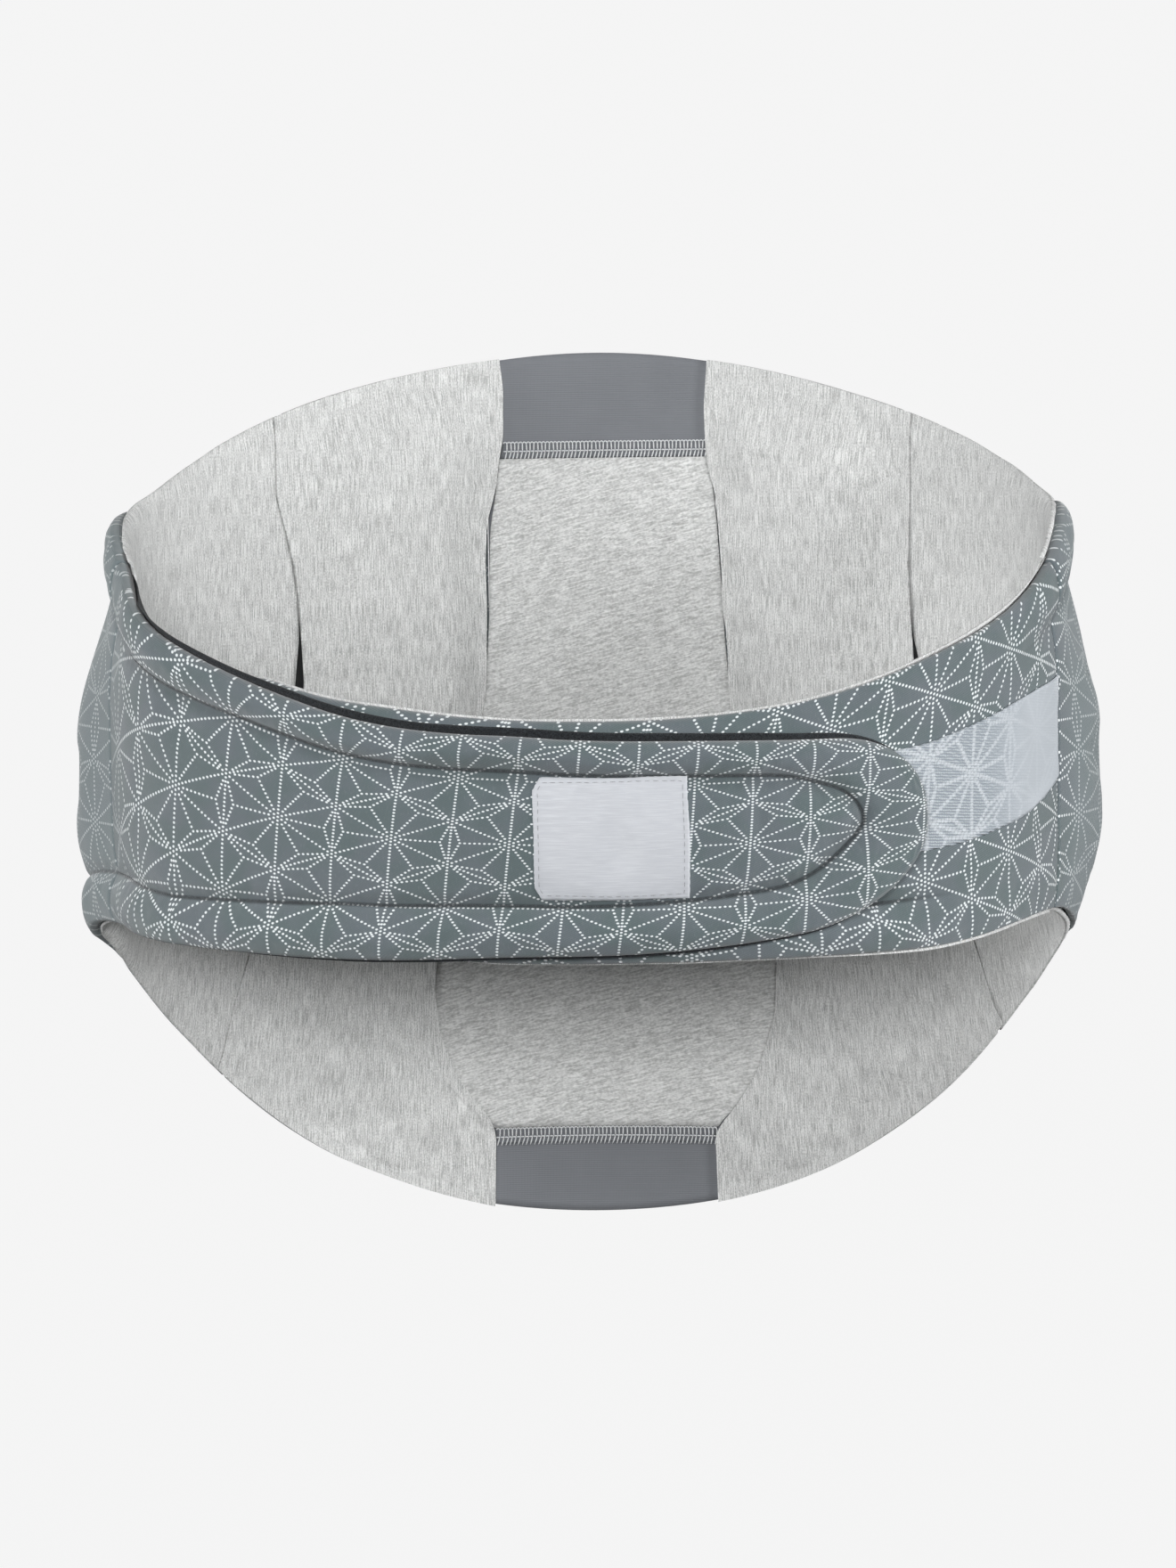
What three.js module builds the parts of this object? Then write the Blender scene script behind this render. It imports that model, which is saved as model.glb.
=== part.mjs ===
// Maternity sleep belt in its worn form: a padded oval, tall at the back, that closes in front with two straps.
// Millimetres, +Z up, front towards -Y, origin in the middle of the waist hollow.
// A station is an angle round the oval in degrees: 0 at the front, 90 at the side, 180 at the back.
// Every piece is drawn for the right-hand side, and the left-hand group mirrors it.
import * as THREE from "three";

// Waist oval, the surface between the outer cloth and the lining
const OVAL_HALF_WIDTH = 182;
const OVAL_HALF_DEPTH = 142;
const HIP_FLARE_SLOPE = 0.12; // outward lean of the cloth over the hips
const HIP_FLARE_START = -10; // height below which the cloth leans out
const HIP_FLARE_EASE = 60; // height that the lean takes to build up
const HIP_FLARE_FROM = 70; // stations between which the lean fades in
const HIP_FLARE_TO = 100;

// Top and bottom edges of the belt
const SIDE_STATION = 90;
const BACK_STATION = 180;
const SIDE_TOP = 84;
const SIDE_BOTTOM = -86;
const BACK_TOP = 141;
const BACK_BOTTOM = -223;
const CROWN_POWER = 1.47; // how the edges sweep from the sides to the back
const CORNER_ROUND = 9; // rounding where a strap's top edge meets the wing's
const SIDE_DROP_POWER = 6; // how late the bottom edge drops at the sides

// Seams round the oval
const STRAP_SEAM = 75; // strap to wing
const SLIT = 135; // mouth of the pad's pocket in the lining
const BACK_SEAM = 166; // wing to stretch panel
const SEAM_GAP = 0.25; // degrees between two pieces sewn edge to edge

// Layers, as offsets from the oval
const SHELL_INNER = 0.3;
const LINING_OUTER = -0.3;
const LINING_INNER = -2.7;
const STRETCH_OUTER = 1.9;
const WING_BULGE = 12; // swell of the wing's padding at the side
const SKIN_GAP = 0.5; // between a sewn-on piece and the cloth under it

// The two straps, each seen from its own side
const LEFT_STRAP = {
  frontTop: 4,
  topPower: 1.55,
  frontBottom: -75,
  tipStation: -42,
  tipTopRise: -2,
  tipBottomRise: 16,
  tipMiddle: -29,
  lift: 10.7,
};
const RIGHT_STRAP = {
  frontTop: 12,
  topPower: 2.1,
  frontBottom: -79,
  tipStation: -47,
  tipTopRise: 31,
  tipBottomRise: 16,
  tipMiddle: -14,
  lift: 0,
};
const TIP_ROUND_TOP = 12; // degrees over which the tip's upper corner rounds
const TIP_ROUND_BOTTOM = 17;
const TIP_ROUND_POWER = 2.2;
const TIP_END = 0.35; // degrees short of the tip where the last section stands
const TIP_ROLL = 2.5; // degrees over which the border rounds off at the tip's edge
const TIP_BORDER = 8; // degrees of rolled border round the tip
const LIFT_FROM = 74; // stations between which the outer strap rises over the inner one
const LIFT_TO = 50;
const STRAP_FULL_HEIGHT = 78; // below this height the rows of a strap draw together
const STRAP_LINING_THICK = 1.5;

// Offsets of a rolled border at its crest and at its edge
const ROLL_OUTER = 8.4;
const EDGE_OUTER = 5;
const EDGE_INNER = 2.8;

// Rows across a strap and across a wing, from the bottom edge to the top edge.
// A rolled border runs along each edge, a stitched groove beside it, and a soft panel lies between.
const STRAP_ROWS = [
  { from: "bottom", inset: 0, inner: EDGE_INNER, outer: EDGE_OUTER },
  { from: "bottom", inset: 3, inner: 0.8, outer: 7.4 },
  { from: "bottom", inset: 9, inner: SHELL_INNER, outer: ROLL_OUTER },
  { from: "bottom", inset: 17, inner: SHELL_INNER, outer: 4.4 },
  { from: "bottom", inset: 25, inner: SHELL_INNER, outer: 6.2 },
  { from: "middle", inset: 0, inner: SHELL_INNER, outer: 6.8 },
  { from: "top", inset: 21, inner: SHELL_INNER, outer: 6.2 },
  { from: "top", inset: 13, inner: SHELL_INNER, outer: 4.4 },
  { from: "top", inset: 7, inner: SHELL_INNER, outer: ROLL_OUTER },
  { from: "top", inset: 2.5, inner: 0.8, outer: 7.4 },
  { from: "top", inset: 0, inner: EDGE_INNER, outer: EDGE_OUTER },
];
const WING_ROWS = [
  { from: "bottom", inset: 0, inner: EDGE_INNER, outer: EDGE_OUTER, swell: 0 },
  { from: "bottom", inset: 3, inner: 0.8, outer: 7.4, swell: 0 },
  { from: "bottom", inset: 9, inner: SHELL_INNER, outer: ROLL_OUTER, swell: 0.2 },
  { from: "bottom", inset: 17, inner: SHELL_INNER, outer: 4.6, swell: 0.25 },
  { from: "bottom", inset: 30, inner: SHELL_INNER, outer: 6.2, swell: 0.75 },
  { from: "middle", inset: -18, inner: SHELL_INNER, outer: 6.6, swell: 1 },
  { from: "middle", inset: 18, inner: SHELL_INNER, outer: 6.6, swell: 0.95 },
  { from: "top", inset: 32, inner: SHELL_INNER, outer: 6.2, swell: 0.55 },
  { from: "top", inset: 15, inner: SHELL_INNER, outer: 4.6, swell: 0.1 },
  { from: "top", inset: 8, inner: SHELL_INNER, outer: ROLL_OUTER, swell: 0 },
  { from: "top", inset: 2.5, inner: 0.8, outer: 7.4, swell: 0 },
  { from: "top", inset: 0, inner: EDGE_INNER, outer: EDGE_OUTER, swell: 0 },
];

// Foam pads in the lining's pockets
const PAD_EDGE_THICK = 3.6;
const PAD_THICK = 15;
const PAD_EASE = 0.3; // share of the pad's width or height over which it thickens
const PAD_GAP_TOP = 98; // heights between which the pads stand further apart
const PAD_GAP_WIDEST = -85;
const PAD_GAP_BOTTOM = -185;
const PAD_GAP_HALF = 43; // half the space between the pads at its ends, and how much wider it gets
const PAD_GAP_SWELL = 25;
const LIP_OVERLAP = 4; // pocket lip over the side lining
const LIP_THICK = 2.2;
const SLIT_GAPE_HEIGHT = -6; // where the pocket's mouth gapes, over what height and how far
const SLIT_GAPE_REACH = 20;
const SLIT_GAPE_LIP = 9;
const SLIT_GAPE_LINING = 3;
const SLIT_ARC = 2.76; // millimetres round the oval for one degree at the slit

// Middle of the back
const OVERLOCK_HEIGHT = 6.5; // overlocked edge above and below the back lining
const OVERLOCK_THICK = 1.8;
const BACK_LINING_THICK = 2;
const BACK_ARC = 3.16; // millimetres round the oval for one degree at the back

// Hook tape on the right strap and label on the left strap
const TAPE = { from: 33, to: 74, startHeight: -27, endHeight: 0, width: 41, thick: 1.2, cornerCut: 12 };
const LABEL = { from: -13.1, to: 3.4, bottom: -54, top: -10, thick: 0.8 };

const CLOTH = {
  print: new THREE.MeshStandardMaterial({ color: 0x6b777a, roughness: 0.9, metalness: 0 }),
  jersey: new THREE.MeshStandardMaterial({ color: 0xcdcecd, roughness: 0.95, metalness: 0 }),
  loop: new THREE.MeshStandardMaterial({ color: 0x212426, roughness: 1, metalness: 0 }),
  stretch: new THREE.MeshStandardMaterial({ color: 0x7f8287, roughness: 0.8, metalness: 0 }),
  overlock: new THREE.MeshStandardMaterial({ color: 0x98999a, roughness: 0.9, metalness: 0 }),
  hook: new THREE.MeshStandardMaterial({ color: 0xbec5cb, roughness: 0.5, metalness: 0 }),
  satin: new THREE.MeshStandardMaterial({ color: 0xdbdde2, roughness: 0.4, metalness: 0 }),
};

const { lerp, clamp, smoothstep, degToRad } = THREE.MathUtils;

// Shape of the belt round the body

function hipFlare(station, height) {
  const below = Math.max(0, HIP_FLARE_START - height);
  const lean = HIP_FLARE_SLOPE * (Math.hypot(below, HIP_FLARE_EASE) - HIP_FLARE_EASE);
  return lean * smoothstep(Math.abs(station), HIP_FLARE_FROM, HIP_FLARE_TO);
}

function ovalPoint(station, height, offset) {
  const angle = degToRad(station);
  const flare = hipFlare(station, height);
  const halfWidth = OVAL_HALF_WIDTH + flare;
  const halfDepth = OVAL_HALF_DEPTH + flare;
  const outward = new THREE.Vector3(halfDepth * Math.sin(angle), -halfWidth * Math.cos(angle), 0).normalize();
  const point = new THREE.Vector3(halfWidth * Math.sin(angle), -halfDepth * Math.cos(angle), height);
  return point.addScaledVector(outward, offset);
}

// 0 at the sides and in front, 1 at the middle of the back
function crown(station) {
  const fromBack = degToRad(BACK_STATION - station);
  return Math.max(0, Math.cos(fromBack)) ** CROWN_POWER;
}

// The lower of two heights, with the corner between them rounded
function roundedLower(a, b, round) {
  const mix = clamp(0.5 + (b - a) / (2 * round), 0, 1);
  return lerp(b, a, mix) - round * mix * (1 - mix);
}

function tipRounding(strap, station, reach) {
  const past = clamp((station - strap.tipStation) / reach, 0, 1);
  return (1 - (1 - past) ** TIP_ROUND_POWER) ** (1 / TIP_ROUND_POWER);
}

function topEdge(strap, station) {
  if (station < 0) {
    const top = strap.frontTop + strap.tipTopRise * (station / strap.tipStation) ** 2;
    return lerp(strap.tipMiddle, top, tipRounding(strap, station, TIP_ROUND_TOP));
  }
  const front = lerp(strap.frontTop, SIDE_TOP, (station / SIDE_STATION) ** strap.topPower);
  const wing = lerp(SIDE_TOP, BACK_TOP, crown(station));
  return roundedLower(front, wing, CORNER_ROUND);
}

function bottomEdge(strap, station) {
  if (station < 0) {
    const bottom = strap.frontBottom + strap.tipBottomRise * (station / strap.tipStation) ** 2;
    return lerp(strap.tipMiddle, bottom, tipRounding(strap, station, TIP_ROUND_BOTTOM));
  }
  if (station < SIDE_STATION) {
    return lerp(strap.frontBottom, SIDE_BOTTOM, (station / SIDE_STATION) ** SIDE_DROP_POWER);
  }
  return lerp(SIDE_BOTTOM, BACK_BOTTOM, crown(station));
}

function strapLift(strap, station) {
  return strap.lift * smoothstep(-station, -LIFT_FROM, -LIFT_TO);
}

// Solids

// Closes two grids of points, an outer and an inner one, into one wall
function wallGeometry(outer, inner) {
  const columns = outer.length;
  const rows = outer[0].length;
  const positions = [...outer.flat(), ...inner.flat()].flatMap((point) => point.toArray());
  const outerAt = (column, row) => column * rows + row;
  const innerAt = (column, row) => columns * rows + column * rows + row;
  const index = [];
  const quad = (a, b, c, d) => index.push(a, b, c, a, c, d);
  for (let c = 0; c + 1 < columns; c += 1) {
    for (let r = 0; r + 1 < rows; r += 1) {
      quad(outerAt(c, r), outerAt(c + 1, r), outerAt(c + 1, r + 1), outerAt(c, r + 1));
      quad(innerAt(c, r), innerAt(c, r + 1), innerAt(c + 1, r + 1), innerAt(c + 1, r));
    }
    const last = rows - 1;
    quad(outerAt(c, 0), innerAt(c, 0), innerAt(c + 1, 0), outerAt(c + 1, 0));
    quad(outerAt(c, last), outerAt(c + 1, last), innerAt(c + 1, last), innerAt(c, last));
  }
  for (let r = 0; r + 1 < rows; r += 1) {
    const end = columns - 1;
    quad(outerAt(0, r), outerAt(0, r + 1), innerAt(0, r + 1), innerAt(0, r));
    quad(outerAt(end, r), innerAt(end, r), innerAt(end, r + 1), outerAt(end, r + 1));
  }
  const geometry = new THREE.BufferGeometry();
  geometry.setAttribute("position", new THREE.Float32BufferAttribute(positions, 3));
  geometry.setIndex(index);
  geometry.computeVertexNormals();
  return geometry;
}

// A wall whose spot(across, up) gives a station, a height and two offsets for shares 0 to 1 of its width and height
function wall(name, material, columns, rows, spot) {
  const spots = Array.from({ length: columns + 1 }, (_, c) =>
    Array.from({ length: rows + 1 }, (_, r) => spot(c / columns, r / rows)),
  );
  const outer = spots.map((column) => column.map((s) => ovalPoint(s.station, s.height, s.outer)));
  const inner = spots.map((column) => column.map((s) => ovalPoint(s.station, s.height, s.inner)));
  const mesh = new THREE.Mesh(wallGeometry(outer, inner), material);
  mesh.name = name;
  return mesh;
}

function rowHeight(row, bottom, top, drawIn) {
  if (row.from === "bottom") return bottom + row.inset * drawIn;
  if (row.from === "top") return top - row.inset * drawIn;
  return (bottom + top) / 2 + row.inset * drawIn;
}

// Share along a strap, from its tip to its seam, to a station, with shorter steps at the rounded tip
function strapStation(strap, share) {
  const stretched = lerp(share, 1 - Math.cos((share * Math.PI) / 2), 0.45);
  return lerp(strap.tipStation + TIP_END, STRAP_SEAM - SEAM_GAP, stretched);
}

// A strap thins where it is sewn to the wing
function strapSeamThinning(station) {
  return lerp(0.75, 1, smoothstep(STRAP_SEAM - station, 0, 6));
}

// Round the tip, the groove and the panel give way to the rolled border
function strapRow(strap, station, row) {
  const bottom = bottomEdge(strap, station);
  const top = topEdge(strap, station);
  const drawIn = Math.min(1, (top - bottom) / STRAP_FULL_HEIGHT);
  const lift = strapLift(strap, station);
  const fromTip = station - strap.tipStation;
  const round = Math.sqrt(1 - (1 - clamp(fromTip / TIP_ROLL, 0, 1)) ** 2);
  const inBorder = 1 - smoothstep(fromTip, TIP_ROLL, TIP_BORDER);
  const face = row.inner > SHELL_INNER ? row.outer : lerp(row.outer, ROLL_OUTER, inBorder);
  const inner = Math.max(row.inner, lerp(EDGE_INNER, SHELL_INNER, round));
  const outer = Math.min(face, lerp(EDGE_OUTER, ROLL_OUTER, round));
  return {
    station,
    height: rowHeight(row, bottom, top, drawIn),
    inner: lift + inner,
    outer: lift + inner + (outer - inner) * strapSeamThinning(station),
  };
}

function makeStrap(name, strap) {
  const rows = STRAP_ROWS.length - 1;
  return wall(name, CLOTH.print, 30, rows, (along, up) =>
    strapRow(strap, strapStation(strap, along), STRAP_ROWS[Math.round(up * rows)]),
  );
}

function makeStrapLining(name, cloth, strap) {
  return wall(name, cloth, 28, 3, (along, up) => {
    const station = strapStation(strap, along);
    const lift = strapLift(strap, station);
    return {
      station,
      height: lerp(bottomEdge(strap, station), topEdge(strap, station), up),
      inner: lift - STRAP_LINING_THICK,
      outer: lift - SKIN_GAP / 2,
    };
  });
}

// Offset of a strap's outer face at any height, between the rows of its table
function strapFace(strap, station, height) {
  const rows = STRAP_ROWS.map((row) => strapRow(strap, station, row));
  const above = clamp(rows.findIndex((row) => row.height > height), 1, rows.length - 1);
  const [low, high] = [rows[above - 1], rows[above]];
  return lerp(low.outer, high.outer, (height - low.height) / (high.height - low.height));
}

// The wing's padding swells at the side and thins at its two seams
function wingSwell(station) {
  return WING_BULGE * smoothstep(station, STRAP_SEAM, 92) * (1 - smoothstep(station, 104, 152));
}

function wingSeamThinning(station) {
  const front = lerp(0.75, 1, smoothstep(station, STRAP_SEAM, 81));
  const back = lerp(1, 0.5, smoothstep(station, 156, BACK_SEAM));
  return front * back;
}

function makeWing(name, strap) {
  const rows = WING_ROWS.length - 1;
  return wall(name, CLOTH.print, 20, rows, (along, up) => {
    const station = lerp(STRAP_SEAM, BACK_SEAM, along);
    const row = WING_ROWS[Math.round(up * rows)];
    const swelled = row.outer + row.swell * wingSwell(station);
    return {
      station,
      height: rowHeight(row, bottomEdge(strap, station), topEdge(strap, station), 1),
      inner: row.inner,
      outer: row.inner + (swelled - row.inner) * wingSeamThinning(station),
    };
  });
}

// How far the mouth of the pocket gapes at a height, 0 to 1
function slitGape(height) {
  return Math.exp(-(((height - SLIT_GAPE_HEIGHT) / SLIT_GAPE_REACH) ** 2));
}

function makeSideLining(name, strap) {
  return wall(name, CLOTH.jersey, 10, 11, (along, up) => {
    const slitHeight = lerp(bottomEdge(strap, SLIT), topEdge(strap, SLIT), up);
    const slitEdge = SLIT - (SLIT_GAPE_LINING * slitGape(slitHeight)) / SLIT_ARC;
    const station = lerp(STRAP_SEAM, slitEdge, along);
    return {
      station,
      height: lerp(bottomEdge(strap, station), topEdge(strap, station), up),
      inner: LINING_INNER,
      outer: LINING_OUTER,
    };
  });
}

// Half the space between the two pads at a height, measured round the oval
function padGap(height) {
  if (height > PAD_GAP_TOP || height < PAD_GAP_BOTTOM) return PAD_GAP_HALF;
  const swell =
    height > PAD_GAP_WIDEST
      ? ((PAD_GAP_TOP - height) / (PAD_GAP_TOP - PAD_GAP_WIDEST)) ** 1.4
      : 1 - ((PAD_GAP_WIDEST - height) / (PAD_GAP_WIDEST - PAD_GAP_BOTTOM)) ** 2.2;
  return PAD_GAP_HALF + PAD_GAP_SWELL * swell;
}

// Quarter-round rise from 0 at an edge to 1 at PAD_EASE from it
function padRise(share) {
  const fromEdge = Math.min(share, 1 - share) / PAD_EASE;
  return Math.sqrt(1 - (1 - Math.min(1, fromEdge)) ** 2);
}

// Shares that crowd towards both edges, where a pad rounds off
function crowdEdges(share) {
  return lerp(share, (1 - Math.cos(Math.PI * share)) / 2, 0.7);
}

function makePad(name, strap) {
  const columns = 11;
  return wall(name, CLOTH.jersey, columns, 16, (across, up) => {
    const rise = crowdEdges(up);
    const slitHeight = lerp(bottomEdge(strap, SLIT), topEdge(strap, SLIT), rise);
    const backHeight = lerp(bottomEdge(strap, BACK_SEAM), topEdge(strap, BACK_SEAM), rise);
    const lip = SLIT - (LIP_OVERLAP - SLIT_GAPE_LIP * slitGape(slitHeight)) / SLIT_ARC;
    const clearOfLining = Math.max(SLIT + SEAM_GAP, lip + SEAM_GAP);
    const last = BACK_STATION - padGap(backHeight) / BACK_ARC - SEAM_GAP;
    const onLip = Math.round(across * columns);
    const share = crowdEdges(Math.max(0, onLip - 1) / (columns - 1));
    const station = onLip === 0 ? lip : lerp(clearOfLining, last, share);
    const height = lerp(bottomEdge(strap, station), topEdge(strap, station), rise);
    const lipOuter = LINING_INNER - SKIN_GAP;
    if (onLip < 2) return { station, height, outer: lipOuter, inner: lipOuter - LIP_THICK };
    const thick = lerp(PAD_EDGE_THICK, PAD_THICK, padRise(share) * padRise(rise));
    return { station, height, outer: LINING_OUTER, inner: LINING_OUTER - thick };
  });
}

function makeStretchPanel() {
  return wall("back_stretch_panel", CLOTH.stretch, 8, 16, (across, up) => {
    const station = lerp(BACK_SEAM + SEAM_GAP, 2 * BACK_STATION - BACK_SEAM - SEAM_GAP, across);
    return {
      station,
      height: lerp(lerp(SIDE_BOTTOM, BACK_BOTTOM, crown(station)), lerp(SIDE_TOP, BACK_TOP, crown(station)), up),
      inner: SHELL_INNER,
      outer: STRETCH_OUTER,
    };
  });
}

function makeBackLining() {
  return wall("back_lining", CLOTH.jersey, 8, 12, (across, up) => {
    const height = lerp(PAD_GAP_BOTTOM, PAD_GAP_TOP, up);
    const reach = padGap(height) / BACK_ARC - SEAM_GAP;
    return {
      station: lerp(BACK_STATION - reach, BACK_STATION + reach, across),
      height,
      inner: LINING_OUTER - BACK_LINING_THICK,
      outer: LINING_OUTER,
    };
  });
}

function makeOverlock(name, bottom) {
  const reach = PAD_GAP_HALF / BACK_ARC - SEAM_GAP;
  return wall(name, CLOTH.overlock, 8, 2, (across, up) => ({
    station: lerp(BACK_STATION - reach, BACK_STATION + reach, across),
    height: bottom + OVERLOCK_HEIGHT * up,
    inner: LINING_OUTER - OVERLOCK_THICK,
    outer: LINING_OUTER,
  }));
}

// The tape climbs along the strap, and its lower corner at the seam is cut off
function makeHookTape() {
  return wall("hook_tape", CLOTH.hook, 14, 4, (along, up) => {
    const station = lerp(TAPE.from, TAPE.to, along);
    const middle = lerp(TAPE.startHeight, TAPE.endHeight, along);
    const cut = TAPE.cornerCut * smoothstep(along, 0.6, 1);
    const height = lerp(middle - TAPE.width / 2 + cut, middle + TAPE.width / 2, up);
    const inner = strapFace(RIGHT_STRAP, station, height) + SKIN_GAP;
    return { station, height, inner, outer: inner + TAPE.thick };
  });
}

function makeLabel() {
  return wall("label", CLOTH.satin, 8, 6, (along, up) => {
    const station = lerp(LABEL.from, LABEL.to, along);
    const height = lerp(LABEL.bottom, LABEL.top, up);
    const inner = strapFace(LEFT_STRAP, station, height) + SKIN_GAP;
    return { station, height, inner, outer: inner + LABEL.thick };
  });
}

// Assembly

const rightSide = new THREE.Group();
rightSide.add(
  makeStrap("right_strap", RIGHT_STRAP),
  makeStrapLining("right_strap_lining", CLOTH.jersey, RIGHT_STRAP),
  makeWing("right_wing", RIGHT_STRAP),
  makeSideLining("right_side_lining", RIGHT_STRAP),
  makePad("right_pad", RIGHT_STRAP),
  makeHookTape(),
);

const leftSide = new THREE.Group();
leftSide.scale.x = -1;
leftSide.add(
  makeStrap("left_strap", LEFT_STRAP),
  makeStrapLining("left_strap_lining", CLOTH.loop, LEFT_STRAP),
  makeWing("left_wing", LEFT_STRAP),
  makeSideLining("left_side_lining", LEFT_STRAP),
  makePad("left_pad", LEFT_STRAP),
  makeLabel(),
);

const back = new THREE.Group();
back.add(
  makeStretchPanel(),
  makeBackLining(),
  makeOverlock("overlock_top", PAD_GAP_TOP + SKIN_GAP),
  makeOverlock("overlock_bottom", PAD_GAP_BOTTOM - SKIN_GAP - OVERLOCK_HEIGHT),
);

const belt = new THREE.Group();
belt.add(back, leftSide, rightSide);

export default belt;
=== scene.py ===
# %% [markdown]
# # Maternity sleep belt
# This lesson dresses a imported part: a padded cloth belt that is worn round a pregnant waist. Everything on
# it is soft, so nearly every piece starts as a flat cut of cloth, a grid, that gets a thickness and is
# wrapped round an oval form, as a pattern cutter's pieces are sewn up round a body.

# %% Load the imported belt
import math

import bpy
import numpy as np
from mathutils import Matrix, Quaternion, Vector
from mathutils.kdtree import KDTree


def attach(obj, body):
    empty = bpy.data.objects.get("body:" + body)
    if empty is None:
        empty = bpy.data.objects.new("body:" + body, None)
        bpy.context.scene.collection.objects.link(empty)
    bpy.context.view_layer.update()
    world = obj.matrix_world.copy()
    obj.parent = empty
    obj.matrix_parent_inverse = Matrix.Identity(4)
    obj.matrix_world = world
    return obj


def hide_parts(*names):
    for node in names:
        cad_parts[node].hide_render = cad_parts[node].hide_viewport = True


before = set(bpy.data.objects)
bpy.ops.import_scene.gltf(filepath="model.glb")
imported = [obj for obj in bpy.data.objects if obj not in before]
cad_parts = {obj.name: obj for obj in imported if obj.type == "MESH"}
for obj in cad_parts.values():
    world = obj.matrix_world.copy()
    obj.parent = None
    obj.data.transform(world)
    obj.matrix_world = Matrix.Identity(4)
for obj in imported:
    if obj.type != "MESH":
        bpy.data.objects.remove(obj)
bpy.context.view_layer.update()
MM = 0.001

# %% [markdown]
# ## Camera
# The belt is seen from the front, a little from above and from the right, through a long lens, so its sides
# hardly converge. Two angles and a distance give the camera's place, and a slight roll matches the lean of
# the worn belt.

# %% Place the camera
VIEW_AZIMUTH, VIEW_ELEVATION, VIEW_ROLL = 3.0, 5.0, -0.8
VIEW_DISTANCE, VIEW_TARGET = 2.0, Vector((0.0, 0.0, -0.026))
VIEW_FOCAL_PX, IMAGE_HEIGHT_PX, SENSOR_MM = 5740.0, 1760.0, 36.0


def direction(azimuth, elevation):
    """A direction from two angles in degrees: azimuth 0 is in front of the belt and 90 at its right."""
    turn, rise = math.radians(azimuth), math.radians(elevation)
    return Vector((math.sin(turn) * math.cos(rise), -math.cos(turn) * math.cos(rise), math.sin(rise)))


towards_camera = direction(VIEW_AZIMUTH, VIEW_ELEVATION)
bpy.ops.object.select_all(action="DESELECT")
bpy.ops.object.camera_add(location=VIEW_TARGET + towards_camera * VIEW_DISTANCE)
camera = bpy.context.object
aim = (-towards_camera).to_track_quat("-Z", "Y") @ Quaternion((0, 0, 1), math.radians(VIEW_ROLL))
camera.rotation_euler = aim.to_euler()
camera.data.sensor_width = SENSOR_MM
camera.data.lens = VIEW_FOCAL_PX / IMAGE_HEIGHT_PX * SENSOR_MM
bpy.context.scene.camera = camera
print("camera at", tuple(round(x, 3) for x in camera.location), "lens", round(camera.data.lens, 1))

# %% [markdown]
# ## Floor and light
# A pale studio sweep: a round floor that curves up into a wall, so no horizon shows from any side. It could
# be lit by lamps, but a sweep that glows a little itself stays even. It is kept from lighting the belt, so
# folds and hollows stay deep. Soft lamps give the cloth its shading. The key hangs close to the camera and
# a little higher, so the band throws a soft shadow on the back behind it; three lamps at each side reach
# the linings across from them, and two light the outside of the back.

# %% Make the sweep
SWEEP_RADIUS, SWEEP_FLOOR, SWEEP_HEIGHT, SWEEP_BEND, SWEEP_GLOW = 5.0, -1.4, 6.0, 1.2, 0.905


def select_faces(piece, is_chosen):
    """Goes into edit mode with only the chosen faces selected."""
    bpy.ops.object.mode_set(mode="EDIT")
    bpy.ops.mesh.select_mode(type="FACE")
    bpy.ops.mesh.select_all(action="DESELECT")
    bpy.ops.object.mode_set(mode="OBJECT")
    for polygon in piece.data.polygons:
        polygon.select = is_chosen(polygon)
    bpy.ops.object.mode_set(mode="EDIT")


bpy.ops.object.select_all(action="DESELECT")
bpy.ops.mesh.primitive_cylinder_add(
    vertices=96, radius=SWEEP_RADIUS, depth=SWEEP_HEIGHT, location=(0, 0, SWEEP_FLOOR + SWEEP_HEIGHT / 2.0),
)
sweep = bpy.context.object
sweep.name = "studio_sweep"
bpy.ops.object.transform_apply(location=True, rotation=False, scale=False)
select_faces(sweep, lambda polygon: polygon.normal.z > 0.5)
bpy.ops.mesh.delete(type="FACE")
bpy.ops.object.mode_set(mode="OBJECT")
select_faces(sweep, lambda polygon: polygon.normal.z < -0.5)
bpy.ops.mesh.bevel(offset=SWEEP_BEND, segments=12, affect="EDGES")
bpy.ops.mesh.select_all(action="SELECT")
bpy.ops.mesh.flip_normals()
bpy.ops.object.mode_set(mode="OBJECT")
bpy.ops.object.shade_smooth()

sweep_paint = bpy.data.materials.new("pale_sweep")
sweep_paint.use_nodes = True
sweep_shader = sweep_paint.node_tree.nodes["Principled BSDF"]
sweep_shader.inputs["Base Color"].default_value = (0.02, 0.02, 0.02, 1)
sweep_shader.inputs["Roughness"].default_value = 0.9
sweep_shader.inputs["Specular IOR Level"].default_value = 0.0
sweep_shader.inputs["Emission Color"].default_value = (1, 1, 1, 1)
sweep_shader.inputs["Emission Strength"].default_value = SWEEP_GLOW
sweep.data.materials.append(sweep_paint)
sweep.visible_diffuse = False
sweep.visible_glossy = False
print("sweep:", len(sweep.data.polygons), "faces, floor at", SWEEP_FLOOR)

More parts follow.
